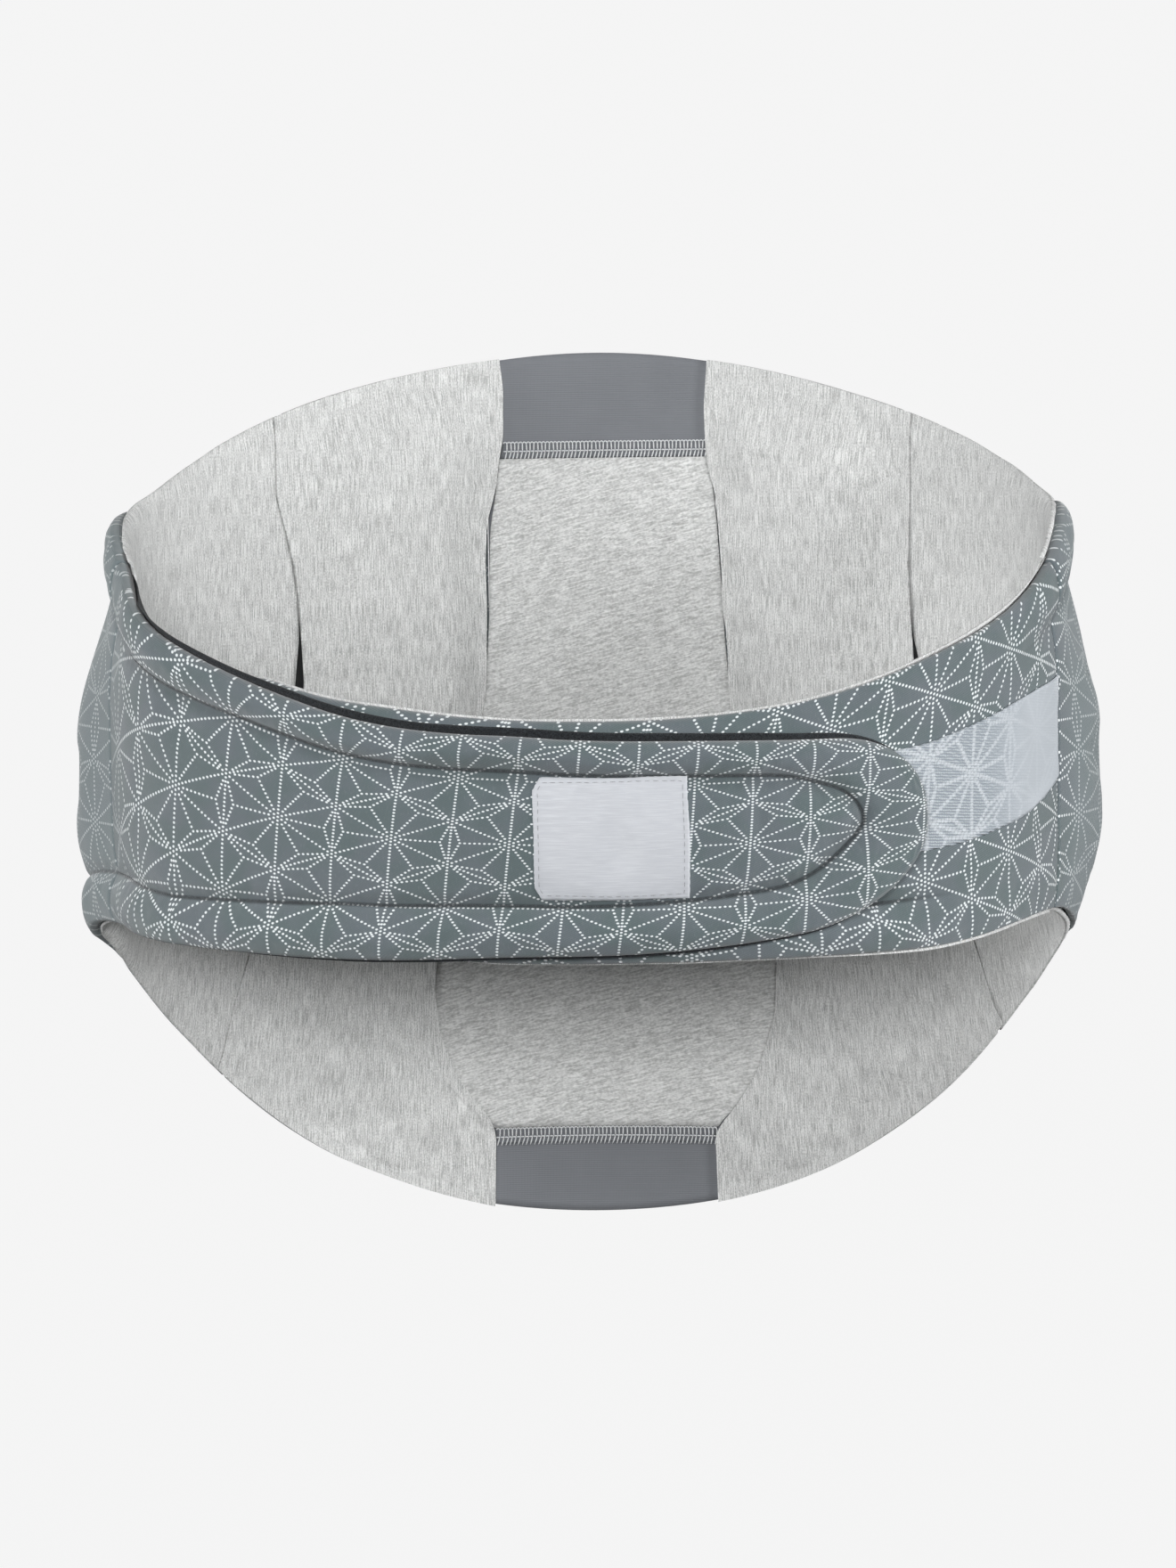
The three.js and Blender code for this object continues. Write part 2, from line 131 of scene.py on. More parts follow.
# %% Hang the lamps
# Each lamp has an azimuth and an elevation in degrees, a size in metres and a power in watts.
LAMPS = {
    "key_lamp": (-2.0, 10.0, 0.45, 46.5),
    "right_lamp": (50.0, 9.0, 0.8, 30.0),
    "far_right_lamp": (84.0, 6.5, 0.9, 36.5),
    "low_right_lamp": (85.0, -14.0, 0.9, 8.4),
    "high_left_lamp": (-50.0, 28.0, 0.9, 13.0),
    "far_left_lamp": (-75.0, 20.0, 0.9, 30.0),
    "low_left_lamp": (-85.0, -14.0, 0.9, 20.0),
    "back_left_lamp": (-158.0, 4.0, 0.9, 30.0),
    "back_right_lamp": (158.0, 4.0, 0.9, 30.0),
}
LAMP_DISTANCE = 2.9

for lamp_name, (azimuth, elevation, size, power) in LAMPS.items():
    way = direction(azimuth, elevation)
    bpy.ops.object.light_add(type="AREA", location=VIEW_TARGET + way * LAMP_DISTANCE)
    lamp = bpy.context.object
    lamp.name = lamp_name
    lamp.data.size = size
    lamp.data.energy = power
    lamp.visible_camera = False
    lamp.rotation_euler = way.to_track_quat("Z", "Y").to_euler()

world = bpy.data.worlds.new("studio_air")
world.use_nodes = True
world.node_tree.nodes["Background"].inputs["Color"].default_value = (1, 1, 1, 1)
world.node_tree.nodes["Background"].inputs["Strength"].default_value = 0.01
bpy.context.scene.world = world
bpy.context.scene.view_settings.view_transform = "Standard"
print("lamps:", ", ".join(LAMPS))

# %% [markdown]
# ## The form under the cloth
# The belt keeps its worn form, an oval. A station is an angle round it, 0 at the front, 90 at a side and
# 180 at the back; an offset is a distance out of the oval. Below the waist the cloth leans out over the
# hips. Working with a station, a height and an offset keeps all layers in step, which placing points by
# hand would not.

# %% Shape of the oval
OVAL_HALF_WIDTH, OVAL_HALF_DEPTH = 182.0, 142.0
HIP_FLARE_SLOPE, HIP_FLARE_START, HIP_FLARE_EASE = 0.12, -10.0, 60.0
HIP_FLARE_STATIONS = (70.0, 100.0)
SIDE_DRAW_LEFT, SIDE_DRAW_RIGHT = 3.4, 0.8
SIDE_DRAW_STARTS, SIDE_DRAW_ENDS, SIDE_DRAW_HEIGHTS = (52.0, 78.0), (100.0, 132.0), (8.0, 62.0)
RULER_REACH, RULER_MARKS = 240.0, 4801


def mix(a, b, share):
    return a + (b - a) * share


def ease(value, low, high):
    share = np.clip((value - low) / (high - low), 0.0, 1.0)
    return share * share * (3.0 - 2.0 * share)


def hip_flare(station, height):
    below = np.maximum(0.0, HIP_FLARE_START - height)
    lean = HIP_FLARE_SLOPE * (np.hypot(below, HIP_FLARE_EASE) - HIP_FLARE_EASE)
    return lean * ease(np.abs(station), *HIP_FLARE_STATIONS)


def side_draw(station, height):
    """How far the tops of the two sides are drawn in, the left one more."""
    own = np.abs(station)
    reach = np.where(station < 0.0, SIDE_DRAW_LEFT, SIDE_DRAW_RIGHT)
    drawn = reach * ease(own, *SIDE_DRAW_STARTS) * (1.0 - ease(own, *SIDE_DRAW_ENDS))
    return drawn * ease(height, *SIDE_DRAW_HEIGHTS)


def on_oval(station, height, offset):
    """Points in millimetres for stations in degrees, heights and offsets out of the oval."""
    angle = np.radians(station)
    flare = hip_flare(station, height) - side_draw(station, height)
    half_width, half_depth = OVAL_HALF_WIDTH + flare, OVAL_HALF_DEPTH + flare
    out_x, out_y = half_depth * np.sin(angle), -half_width * np.cos(angle)
    length = np.hypot(out_x, out_y)
    return np.stack([
        half_width * np.sin(angle) + out_x / length * offset,
        -half_depth * np.cos(angle) + out_y / length * offset,
        height + 0.0 * angle,
    ], axis=-1)


# %% A ruler round the oval
ruler_stations = np.linspace(-RULER_REACH, RULER_REACH, RULER_MARKS)
ruler_points = on_oval(ruler_stations, np.zeros(RULER_MARKS), np.zeros(RULER_MARKS))
ruler_steps = np.linalg.norm(np.diff(ruler_points, axis=0), axis=1)
ruler_arcs = np.concatenate([[0.0], np.cumsum(ruler_steps)])
ruler_arcs -= np.interp(0.0, ruler_stations, ruler_arcs)


def arc(station):
    """Millimetres round the oval from the front to a station."""
    return np.interp(station, ruler_stations, ruler_arcs)


print("girth of the oval:", round(2 * float(arc(180.0))), "mm")

# %% [markdown]
# ## Edges of the belt
# Seen flat, the belt is a long shape: narrow straps that end in round tongues, and wings that grow tall
# towards the back. Its top and bottom edges are curves of the station, and the two straps differ, because
# the left one lies on top and is drawn a little lower.

# %% Measures of the two edges
SIDE_TOP, SIDE_BOTTOM, BACK_TOP, BACK_BOTTOM = 84.0, -86.0, 141.0, -223.0
CROWN_POWER, CORNER_ROUND, SIDE_DROP_POWER = 1.47, 9.0, 6
STRAP_SEAM, SLIT, BACK_SEAM, SEAM_GAP = 75.0, 135.0, 165.0, 0.02
TIP_ROUND_TOP, TIP_ROUND_BOTTOM, TIP_ROUND_POWER = 12.0, 17.0, 2.2
LEFT = {
    "side": -1, "front_top": 4.0, "top_power": 1.55, "front_bottom": -75.0, "lift": 10.7,
    "tip": -42.0, "tip_top_rise": -2.0, "tip_bottom_rise": 16.0, "tip_middle": -29.0,
}
RIGHT = {
    "side": 1, "front_top": 12.0, "top_power": 2.1, "front_bottom": -79.0, "lift": 0.0,
    "tip": -47.0, "tip_top_rise": 28.0, "tip_bottom_rise": 16.0, "tip_middle": -14.0,
}
# Stations, and how many millimetres the worn edge lies above its smooth curve there.
EDGE_TRIM = {
    (-1, "top"): (
        (-42, -25, -5, 5, 12, 20, 26, 32, 42, 50, 56, 61,
         68, 84, 88, 92, 96, 105, 115, 120, 125, 130, 140, 165),
        (-0.5, -1.5, -1.0, 0.5, -1.5, -3.0, -3.0, -1.5, 0.0, 1.0, 1.8, 1.8,
         1.0, 0.2, -1.0, -1.6, -2.2, -3.2, -2.8, -1.9, -1.2, -0.5, 0.3, 0.0)),
    (-1, "bottom"): (
        (5, 20, 30, 40, 46, 54, 60, 65, 70, 75, 80,
         84, 88, 92, 96, 105, 120, 128, 136, 145, 150, 165),
        (0.0, -2.0, -2.0, -1.2, -0.8, 0.0, 0.8, 1.6, 2.7, 3.6, 5.0,
         5.8, 3.6, -0.5, -3.8, -4.4, -4.0, -4.8, -5.5, -5.2, -3.6, -1.8)),
    (1, "top"): (
        (-47, -31, -26, -20, -10, 0, 10, 22, 30, 36,
         42, 48, 84, 90, 96, 101, 145, 155, 165),
        (-5.0, -5.0, -4.0, -2.5, -2.3, -2.3, -3.0, -3.4, -3.2, -2.2,
         -1.0, 0.0, 0.0, -1.0, -2.6, -3.2, -3.2, -2.2, -1.0)),
    (1, "bottom"): (
        (45, 50, 55, 60, 65, 70, 75, 80, 84, 88,
         92, 100, 105, 112, 120, 125, 130, 135, 145, 152, 165),
        (0.0, 1.2, 2.8, 5.0, 7.0, 8.5, 9.5, 9.5, 8.0, 5.6,
         4.2, 4.0, 5.0, 5.8, 5.6, 4.7, 3.4, 2.5, 1.5, 0.3, 0.6)),
}
TRIM_REACH = 3.0


def smoothed(table, value, reach):
    """A table looked up at a value and averaged over a reach to both sides of it."""
    shifts = reach * np.array([-1.0, -0.5, 0.0, 0.5, 1.0])
    return np.mean([np.interp(value + shift, *table) for shift in shifts], axis=0)


def trim(half, edge, station):
    """Small corrections of an edge, where the worn belt is not quite even, smoothed along it."""
    return smoothed(EDGE_TRIM[half["side"], edge], station, TRIM_REACH)


print("trims of up to", max(abs(v) for _, row in EDGE_TRIM.values() for v in row), "mm")

# %% Curves of the two edges
def crown(station):
    return np.maximum(0.0, np.cos(np.radians(180.0 - station))) ** CROWN_POWER


def rounded_lower(a, b, rounding):
    share = np.clip(0.5 + (b - a) / (2.0 * rounding), 0.0, 1.0)
    return mix(b, a, share) - rounding * share * (1.0 - share)


def round_tip(half, station, line, reach):
    """An edge that bends to the middle of the strap's tip, over a reach of stations."""
    past = np.clip((station - half["tip"]) / reach, 0.0, 1.0)
    share = (1.0 - (1.0 - past) ** TIP_ROUND_POWER) ** (1.0 / TIP_ROUND_POWER)
    return np.where(station < 0.0, mix(half["tip_middle"], line, share), line)


def top_line(half, station):
    """The top edge as it would run on past the rounded tip."""
    tongue = half["front_top"] + half["tip_top_rise"] * (station / half["tip"]) ** 2
    front = mix(half["front_top"], SIDE_TOP, (np.maximum(0.0, station) / 90.0) ** half["top_power"])
    band = rounded_lower(front, mix(SIDE_TOP, BACK_TOP, crown(station)), CORNER_ROUND)
    return np.where(station < 0.0, tongue, band) + trim(half, "top", station)


def bottom_line(half, station):
    tongue = half["front_bottom"] + half["tip_bottom_rise"] * (station / half["tip"]) ** 2
    front = mix(half["front_bottom"], SIDE_BOTTOM, (np.clip(station, 0.0, 90.0) / 90.0) ** SIDE_DROP_POWER)
    band = np.where(station < 90.0, front, mix(SIDE_BOTTOM, BACK_BOTTOM, crown(station)))
    return np.where(station < 0.0, tongue, band) + trim(half, "bottom", station)


def top_edge(half, station):
    return round_tip(half, station, top_line(half, station), TIP_ROUND_TOP)


def bottom_edge(half, station):
    return round_tip(half, station, bottom_line(half, station), TIP_ROUND_BOTTOM)


print("height at the back:", BACK_TOP - BACK_BOTTOM, "mm, at a side:", SIDE_TOP - SIDE_BOTTOM, "mm")

# %% [markdown]
# ## Cutting and wrapping cloth
# A cut of cloth is a grid primitive with a Solidify modifier, so it is closed and has two faces from the
# start. Wrapping moves each point to its station, height and offset, and writes the cloth's own measures
# into a UV map, in metres, so weave and print follow the cloth and not the world.

# %% Cloth helpers
CUT_THICKNESS = 0.1


def read_points(piece):
    points = np.empty(len(piece.data.vertices) * 3)
    piece.data.vertices.foreach_get("co", points)
    return points.reshape(-1, 3)


def write_points(piece, points):
    piece.data.vertices.foreach_set("co", np.ascontiguousarray(points, dtype=np.float64).ravel())
    piece.data.update()


def read_normals(piece):
    normals = np.empty(len(piece.data.vertices) * 3)
    piece.data.vertices.foreach_get("normal", normals)
    return normals.reshape(-1, 3)


def select_only(piece):
    bpy.ops.object.select_all(action="DESELECT")
    piece.select_set(True)
    bpy.context.view_layer.objects.active = piece


def apply_modifiers(piece):
    select_only(piece)
    for modifier in list(piece.modifiers):
        bpy.ops.object.modifier_apply(modifier=modifier.name)


def cut_cloth(name, columns, rows):
    """A flat, closed cut of cloth: a unit grid with a thickness, its back 0.1 below its face."""
    bpy.ops.object.select_all(action="DESELECT")
    bpy.ops.mesh.primitive_grid_add(x_subdivisions=columns, y_subdivisions=rows, size=1.0, location=(0, 0, 0))
    piece = bpy.context.object
    piece.name = name
    piece.data.name = name
    thickness = piece.modifiers.new("thickness", "SOLIDIFY")
    thickness.thickness = CUT_THICKNESS
    thickness.offset = -1.0
    apply_modifiers(piece)
    return piece


# %% Measures of the cloth in UV maps
def point_of_corner(piece):
    corners = np.empty(len(piece.data.loops), dtype=np.int64)
    piece.data.loops.foreach_get("vertex_index", corners)
    return corners


def write_map(piece, name, along, across):
    """Stores two measures of each point, given in millimetres, as a UV map in metres."""
    layer = piece.data.uv_layers.get(name) or piece.data.uv_layers.new(name=name)
    measures = np.stack([along, across], axis=-1) * MM
    layer.data.foreach_set("uv", measures[point_of_corner(piece)].astype(np.float32).ravel())


def read_map(piece, name):
    """The two measures of each point in a UV map, in millimetres."""
    stored = np.empty(len(piece.data.loops) * 2, dtype=np.float32)
    piece.data.uv_layers[name].data.foreach_get("uv", stored)
    measures = np.zeros((len(piece.data.vertices), 2))
    measures[point_of_corner(piece)] = stored.reshape(-1, 2) / MM
    return measures[:, 0], measures[:, 1]


def wrap(piece, spot):
    """Moves a flat cut onto the form. spot gives station, height, inner and outer, and any further maps."""
    flat = read_points(piece)
    is_back = flat[:, 2] < -CUT_THICKNESS / 2
    place = spot(flat[:, 0] + 0.5, flat[:, 1] + 0.5)
    offset = np.where(is_back, place["inner"], place["outer"])
    write_points(piece, on_oval(place["station"], place["height"], offset) * MM)
    piece.data.uv_layers.active.name = "cut"
    write_map(piece, "cut", arc(place["station"]), place["height"])
    for name, (along, across) in place.get("maps", {}).items():
        write_map(piece, name, along, across)
    bpy.ops.object.shade_smooth()
    return is_back


def crowd_edges(share, amount=0.6):
    return mix(share, (1.0 - np.cos(math.pi * share)) / 2.0, amount)


# %% [markdown]
# ## Rolled borders
# A strap and a wing have a stuffed border along their edges, a stitched groove beside it and a soft panel
# between. Which of them a point is in follows from its distance to the edge of the cut, so that distance is
# measured once, against a dense row of points along the edge, and the section of the padding is drawn from
# it.

# %% Distance to an edge
TOP_BORDER = ((0.0, 36.0, 60.0, 76.0, 88.0, 104.0, 120.0), (13.0, 13.5, 17.5, 21.0, 23.0, 19.0, 15.0))
BOTTOM_BORDER = {
    -1: ((0.0, 12.0, 25.0, 40.0, 50.0, 65.0, 90.0, 120.0), (18.5, 20.0, 21.0, 19.5, 18.5, 20.5, 19.5, 15.0)),
    1: ((0.0, 30.0, 45.0, 75.0, 120.0), (17.5, 17.5, 19.5, 19.5, 15.0)),
}
TIP_BORDER, EDGE_STEP = 25.0, 0.6


def edge_rows(half, first, last, count):
    """Points along the edges, flat: arc, height and the border's width there."""
    if first < 0:
        lean = (1.0 - np.cos(np.linspace(0.0, math.pi / 2, count))) ** 1.6
        stations = mix(first, last, lean)
    else:
        stations = np.linspace(first, last, count)
    near_tip = 1.0 - ease(stations - half["tip"], 2.0, 20.0) if first < 0 else 0.0 * stations
    top_border = mix(np.interp(stations, *TOP_BORDER), TIP_BORDER, near_tip)
    bottom_border = mix(np.interp(stations, *BOTTOM_BORDER[half["side"]]), TIP_BORDER, near_tip)
    top = np.stack([arc(stations), top_edge(half, stations), top_border], axis=-1)
    bottom = np.stack([arc(stations), bottom_edge(half, stations), bottom_border], axis=-1)
    return (np.concatenate([bottom[::-1], top]),) if first < 0 else (bottom, top)


def dense(row, step):
    lengths = np.concatenate([[0.0], np.cumsum(np.linalg.norm(np.diff(row[:, :2], axis=0), axis=1))])
    marks = np.arange(0.0, lengths[-1], step)
    return np.stack([np.interp(marks, lengths, row[:, k]) for k in range(row.shape[1])], axis=-1)


def edge_tree(rows):
    rows = [dense(row, EDGE_STEP) for row in rows]
    points = np.concatenate(rows)
    tree = KDTree(len(points))
    for index, point in enumerate(points):
        tree.insert((point[0], point[1], 0.0), index)
    tree.balance()
    return {"tree": tree, "border": points[:, 2], "rows": rows}


def edge_depth(edges, along, height):
    """Distance of each point to the nearest edge, the border's width there and the run along the edge."""
    nearest = [edges["tree"].find((a, z, 0.0))[1:] for a, z in zip(along, height)]
    index = np.array([n[0] for n in nearest])
    return np.array([n[1] for n in nearest]), edges["border"][index], index * EDGE_STEP


strap_edges, wing_edges = {}, {}
for half in (LEFT, RIGHT):
    strap_edges[half["side"]] = edge_tree(edge_rows(half, half["tip"], STRAP_SEAM + 5.0, 700))
    wing_edges[half["side"]] = edge_tree(edge_rows(half, STRAP_SEAM - 15.0, BACK_SEAM + 21.0, 500))
print("edge rows ready:", len(strap_edges[1]["border"]), "points on a strap")

# %% Section of the padding
SHELL_INNER, EDGE_MIDDLE, EDGE_HALF, ROLL_OUTER, GROOVE_OUTER = 0.3, 3.9, 0.7, 8.6, 4.3
ROLL_CREST, ROLL_FALL_POWER, PANEL_EASE, SLACK_EASE, TUCK_DEPTH = 0.48, 2.2, 7.0, 9.0, 4.0


def edge_curl(own):
    """How far an edge turns outwards: fully in front and not at all round the back."""
    return 1.0 - ease(own, 94.0, 108.0)


def padded_inner(depth, curl=1.0):
    """Inner offset of a padded piece from its depth inside the edge, where it tucks under the roll."""
    tuck = np.sqrt(1.0 - (1.0 - np.clip(depth / TUCK_DEPTH, 0.0, 1.0)) ** 2)
    return SHELL_INNER + (EDGE_MIDDLE - EDGE_HALF - SHELL_INNER) * (1.0 - tuck) * curl


def padded_outer(depth, border, panel):
    """Outer offset: a stuffed roll along the border, the groove of the stitches and the soft panel."""
    share = depth / border
    rise = np.sqrt(1.0 - (1.0 - np.clip(share / ROLL_CREST, 0.0, 1.0)) ** 2)
    fall = np.clip((share - ROLL_CREST) / (1.0 - ROLL_CREST), 0.0, 1.0) ** ROLL_FALL_POWER
    roll = mix(mix(EDGE_MIDDLE + EDGE_HALF, ROLL_OUTER, rise), GROOVE_OUTER, fall)
    swell = 1.0 - np.exp(-np.maximum(0.0, depth - border) / PANEL_EASE)
    return np.where(share < 1.0, roll, mix(GROOVE_OUTER, panel, swell))


def slack(half, own, height):
    """1 where a border of the right side lies slack, without a furrow, and 0 elsewhere."""
    if half["side"] < 0:
        return 0.0 * own
    upper = ease(own, 10.0, 26.0) * (1.0 - ease(own, 60.0, 73.0)) * ease(height, -26.0, -10.0)
    lower = ease(own, 36.0, 52.0) * (1.0 - ease(height, -46.0, -26.0))
    return np.maximum(upper, lower)


def soft_furrow(half, own, height):
    """How far a furrow has softened into a fold without a line, from 0 to 1."""
    if half["side"] < 0:
        return 0.15 * ease(own, 44.0, 58.0) * (1.0 - ease(height, -46.0, -26.0))
    return np.maximum(slack(half, own, height), 0.8 * ease(own, 10.0, 26.0) * ease(height, -26.0, -10.0))


def slack_section(depth, outer, panel, share):
    """Outer offset with the roll and the furrow smoothed out."""
    plain = mix(EDGE_MIDDLE + EDGE_HALF, panel, 1.0 - np.exp(-depth / SLACK_EASE))
    return mix(outer, plain, share)


def cloth_wave(along, height, reach):
    """A gentle, fixed unevenness of hand-filled padding."""
    slow = np.sin(along / 23.0 + 0.7) * np.cos(height / 31.0 + along / 57.0)
    quick = np.sin(along / 9.0 - height / 14.0) * np.cos(height / 8.0 + 1.3)
    return reach * (0.75 * slow + 0.25 * quick)


print("a stuffed border is", round(ROLL_OUTER - SHELL_INNER, 1), "mm thick")

# %% [markdown]
# ## Letting the padding settle
# A drawn section is too even for cloth. Blender's Cloth with a little pressure, held at seams, stitches and
# the inner face, blows the free cloth out and lets it pucker along the stitches. How far a point may move
# is capped, so the piece stays in its place, and the result is applied, so no simulation is left on the
# piece.

# %% Cloth settling helper
SETTLE_FRAMES, SOFT_LIMIT = 16, 0.35


def settle(piece, free, pressure, cap, growth):
    before = read_points(piece)
    held = piece.vertex_groups.new(name="held")
    held.add([int(k) for k in np.flatnonzero(~free)], 1.0, "REPLACE")
    cloth = piece.modifiers.new("settle", "CLOTH")
    cloth.settings.quality = 5
    cloth.settings.mass = 0.15
    cloth.settings.tension_stiffness = 18.0
    cloth.settings.compression_stiffness = 18.0
    cloth.settings.shear_stiffness = 6.0
    cloth.settings.bending_stiffness = 0.4
    cloth.settings.use_pressure = True
    cloth.settings.uniform_pressure_force = pressure
    cloth.settings.shrink_min = -growth
    cloth.settings.vertex_group_mass = "held"
    cloth.settings.effector_weights.gravity = 0.0
    cloth.collision_settings.use_collision = False
    for step in range(1, SETTLE_FRAMES + 1):
        bpy.context.scene.frame_set(step)
    apply_modifiers(piece)
    bpy.context.scene.frame_set(1)
    piece.vertex_groups.clear()
    move = read_points(piece) - before
    distance = np.linalg.norm(move, axis=1, keepdims=True)
    limit = cap * MM
    write_points(piece, before + move * limit / np.maximum(limit, distance + SOFT_LIMIT * limit))
    return float(distance.max() / MM)


def refine(piece, kind="CATMULL_CLARK"):
    """One level of subdivision, applied."""
    finer = piece.modifiers.new("finer", "SUBSURF")
    finer.subdivision_type = kind
    finer.levels = 1
    finer.render_levels = 1
    apply_modifiers(piece)


def push_along_normals(piece, distance):
    write_points(piece, read_points(piece) + read_normals(piece) * distance[:, None] * MM)


print("settling over", SETTLE_FRAMES, "frames")

# %% [markdown]
# ## Finishes
# All cloth is procedural and reads the UV map "cut", in millimetres, so a fleck or a stitch has its true
# size. A picture could be wrapped on instead, but nodes stay sharp at any distance. Small helpers keep the
# graphs short: one places a node and feeds its sockets, the others name the sums that come up again and
# again.

# %% Node helpers
def feed(tree, socket, value):
    if isinstance(value, bpy.types.NodeSocket):
        tree.links.new(value, socket)
    elif value is not None:
        socket.default_value = value


def put(tree, kind, *values, out=0, **settings):
    """Adds a node, sets it up, feeds its first sockets and returns one of its outputs."""
    made = tree.nodes.new("ShaderNode" + kind)
    for name, value in settings.items():
        setattr(made, name, value)
    for socket, value in zip(made.inputs, values):
        feed(tree, socket, value)
    return made.outputs[out]


def sums(tree, operation, *values):
    return put(tree, "Math", *values, operation=operation)


def vectors(tree, operation, *values):
    gives_number = operation in ("LENGTH", "DOT_PRODUCT")
    return put(tree, "VectorMath", *values, out=1 if gives_number else 0, operation=operation)


def colour_between(tree, share, low, high):
    made = tree.nodes.new("ShaderNodeMix")
    made.data_type = "RGBA"
    for place, value in ((0, share), (6, low), (7, high)):
        feed(tree, made.inputs[place], value)
    return made.outputs[2]


def steps(tree, value, low, high, start=0.0, end=1.0):
    """A soft step from start to end while the value goes from low to high."""
    return put(tree, "MapRange", value, low, high, start, end, interpolation_type="SMOOTHSTEP")


def paint(red, green, blue):
    """A colour as it looks on a screen, 0 to 255, as the linear values that shaders use."""
    shares = [v / 255.0 for v in (red, green, blue)]
    return tuple(v / 12.92 if v <= 0.04045 else ((v + 0.055) / 1.055) ** 2.4 for v in shares) + (1.0,)


# %% Noise, ribs and relief of a cloth
def start_finish(name, roughness, sheen, specular=0.2):
    finish = bpy.data.materials.new(name)
    finish.use_nodes = True
    shader = finish.node_tree.nodes["Principled BSDF"]
    shader.inputs["Roughness"].default_value = roughness
    shader.inputs["Sheen Weight"].default_value = sheen
    shader.inputs["Sheen Roughness"].default_value = 0.6
    shader.inputs["Specular IOR Level"].default_value = specular
    return finish, finish.node_tree, shader


def map_millimetres(tree, name):
    return vectors(tree, "MULTIPLY", put(tree, "UVMap", uv_map=name), (1000.0, 1000.0, 0.0))


def stretched_noise(tree, cut, width, length, detail=3.0, distortion=0.0, roughness=0.55):
    """Noise whose flecks are about so many millimetres along and across the cloth."""
    scaled = vectors(tree, "MULTIPLY", cut, (1.0 / width, 1.0 / length, 1.0))
    noise = tree.nodes.new("ShaderNodeTexNoise")
    for socket, value in (("Vector", scaled), ("Scale", 1.0), ("Detail", detail), ("Roughness", roughness),
                          ("Distortion", distortion)):
        feed(tree, noise.inputs[socket], value)
    return noise.outputs[0]


def ribs(tree, cut, lean, pitch):
    """Fine parallel ribs, 0 in the furrow and 1 on the crest."""
    along = vectors(tree, "DOT_PRODUCT", cut, (math.cos(lean), math.sin(lean), 0.0))
    return sums(tree, "MULTIPLY", sums(tree, "PINGPONG", along, pitch / 2.0), 2.0 / pitch)


def emboss(tree, shader, height, depth):
    """Bump from a height between 0 and 1, depth in millimetres."""
    bump = tree.nodes.new("ShaderNodeBump")
    bump.inputs["Distance"].default_value = depth * MM
    feed(tree, bump.inputs["Height"], height)
    tree.links.new(bump.outputs[0], shader.inputs["Normal"])


# %% [markdown]
# ### Dotted star print
# The outside is grey jersey with a traditional hemp-leaf star pattern in rows of light dots. Stars sit on a
# honeycomb, so each point is folded into one wedge of a hexagon, twelve to a cell. Only four straight rows
# of dots are left to draw there, and folding copies them into every star. The stars read a UV map of their
# own, "star", because the printed cloth is drawn in along its edges. A third map, "seam", places painted
# shade in the furrow of the stitches and a softer painted shadow on the panel beside it. The sides are
# painted lighter as sheen, and the inner face is painted near-black as shade where it shows.

# %% Rows of dots in a folded wedge
STAR_SPACING, DOT_RADIUS, KINK_REACH = 24.5, 0.5, 0.72


def folded_wedge(tree, cut):
    """Folds the cloth into a wedge: x towards a neighbouring star, y across it, in millimetres."""
    hub = STAR_SPACING * math.sqrt(3.0)
    reach = (hub / 2.0, hub * math.sqrt(3.0) / 2.0, 1.0)
    back = tuple(-v for v in reach)
    first = vectors(tree, "WRAP", cut, reach, back)
    second = vectors(tree, "WRAP", vectors(tree, "ADD", cut, (reach[0], reach[1], 0.0)), reach, back)
    nearer = sums(tree, "LESS_THAN", vectors(tree, "LENGTH", second), vectors(tree, "LENGTH", first))
    chosen = tree.nodes.new("ShaderNodeMix")
    chosen.data_type = "VECTOR"
    for place, value in ((0, nearer), (4, first), (5, second)):
        feed(tree, chosen.inputs[place], value)
    split = tree.nodes.new("ShaderNodeSeparateXYZ")
    tree.links.new(chosen.outputs[1], split.inputs[0])
    turn = sums(tree, "ARCTAN2", split.outputs[1], split.outputs[0])
    fold = sums(tree, "PINGPONG", sums(tree, "SUBTRACT", turn, math.pi / 6.0), math.pi / 6.0)
    distance = vectors(tree, "LENGTH", chosen.outputs[1])
    x = sums(tree, "MULTIPLY", distance, sums(tree, "COSINE", fold))
    y = sums(tree, "MULTIPLY", distance, sums(tree, "SINE", fold))
    return put(tree, "CombineXYZ", x, y, 1.0)


def dotted_row(tree, wedge, start, end, count, first, last):
    """Distance to the nearest dot of a row between two points of the wedge, cut into count steps."""
    length = math.dist(start, end)
    pitch = length / count
    way = ((end[0] - start[0]) / length, (end[1] - start[1]) / length)
    run = vectors(tree, "DOT_PRODUCT", wedge, (way[0], way[1], -(start[0] * way[0] + start[1] * way[1])))
    off = vectors(tree, "DOT_PRODUCT", wedge, (-way[1], way[0], start[0] * way[1] - start[1] * way[0]))
    number = sums(tree, "ROUND", sums(tree, "MULTIPLY", run, 1.0 / pitch))
    number = sums(tree, "MINIMUM", sums(tree, "MAXIMUM", number, float(first)), float(last))
    to_dot = sums(tree, "MULTIPLY_ADD", number, -pitch, run)
    return vectors(tree, "LENGTH", put(tree, "CombineXYZ", to_dot, off, 0.0))


def star_dots(tree, place):
    wedge = folded_wedge(tree, place)
    hub, star = (0.0, 0.0), (STAR_SPACING, 0.0)
    slope = (math.cos(math.pi / 6.0), math.sin(math.pi / 6.0))
    kink = tuple(KINK_REACH * STAR_SPACING * v for v in slope)
    middle = tuple(STAR_SPACING * slope[0] * v for v in slope)
    nearest = dotted_row(tree, wedge, hub, star, 14, 0, 14)
    for row in ((hub, kink, 10, 2, 10), (kink, star, 7, 1, 5), (star, middle, 7, 1, 7)):
        nearest = sums(tree, "MINIMUM", nearest, dotted_row(tree, wedge, *row))
    return nearest


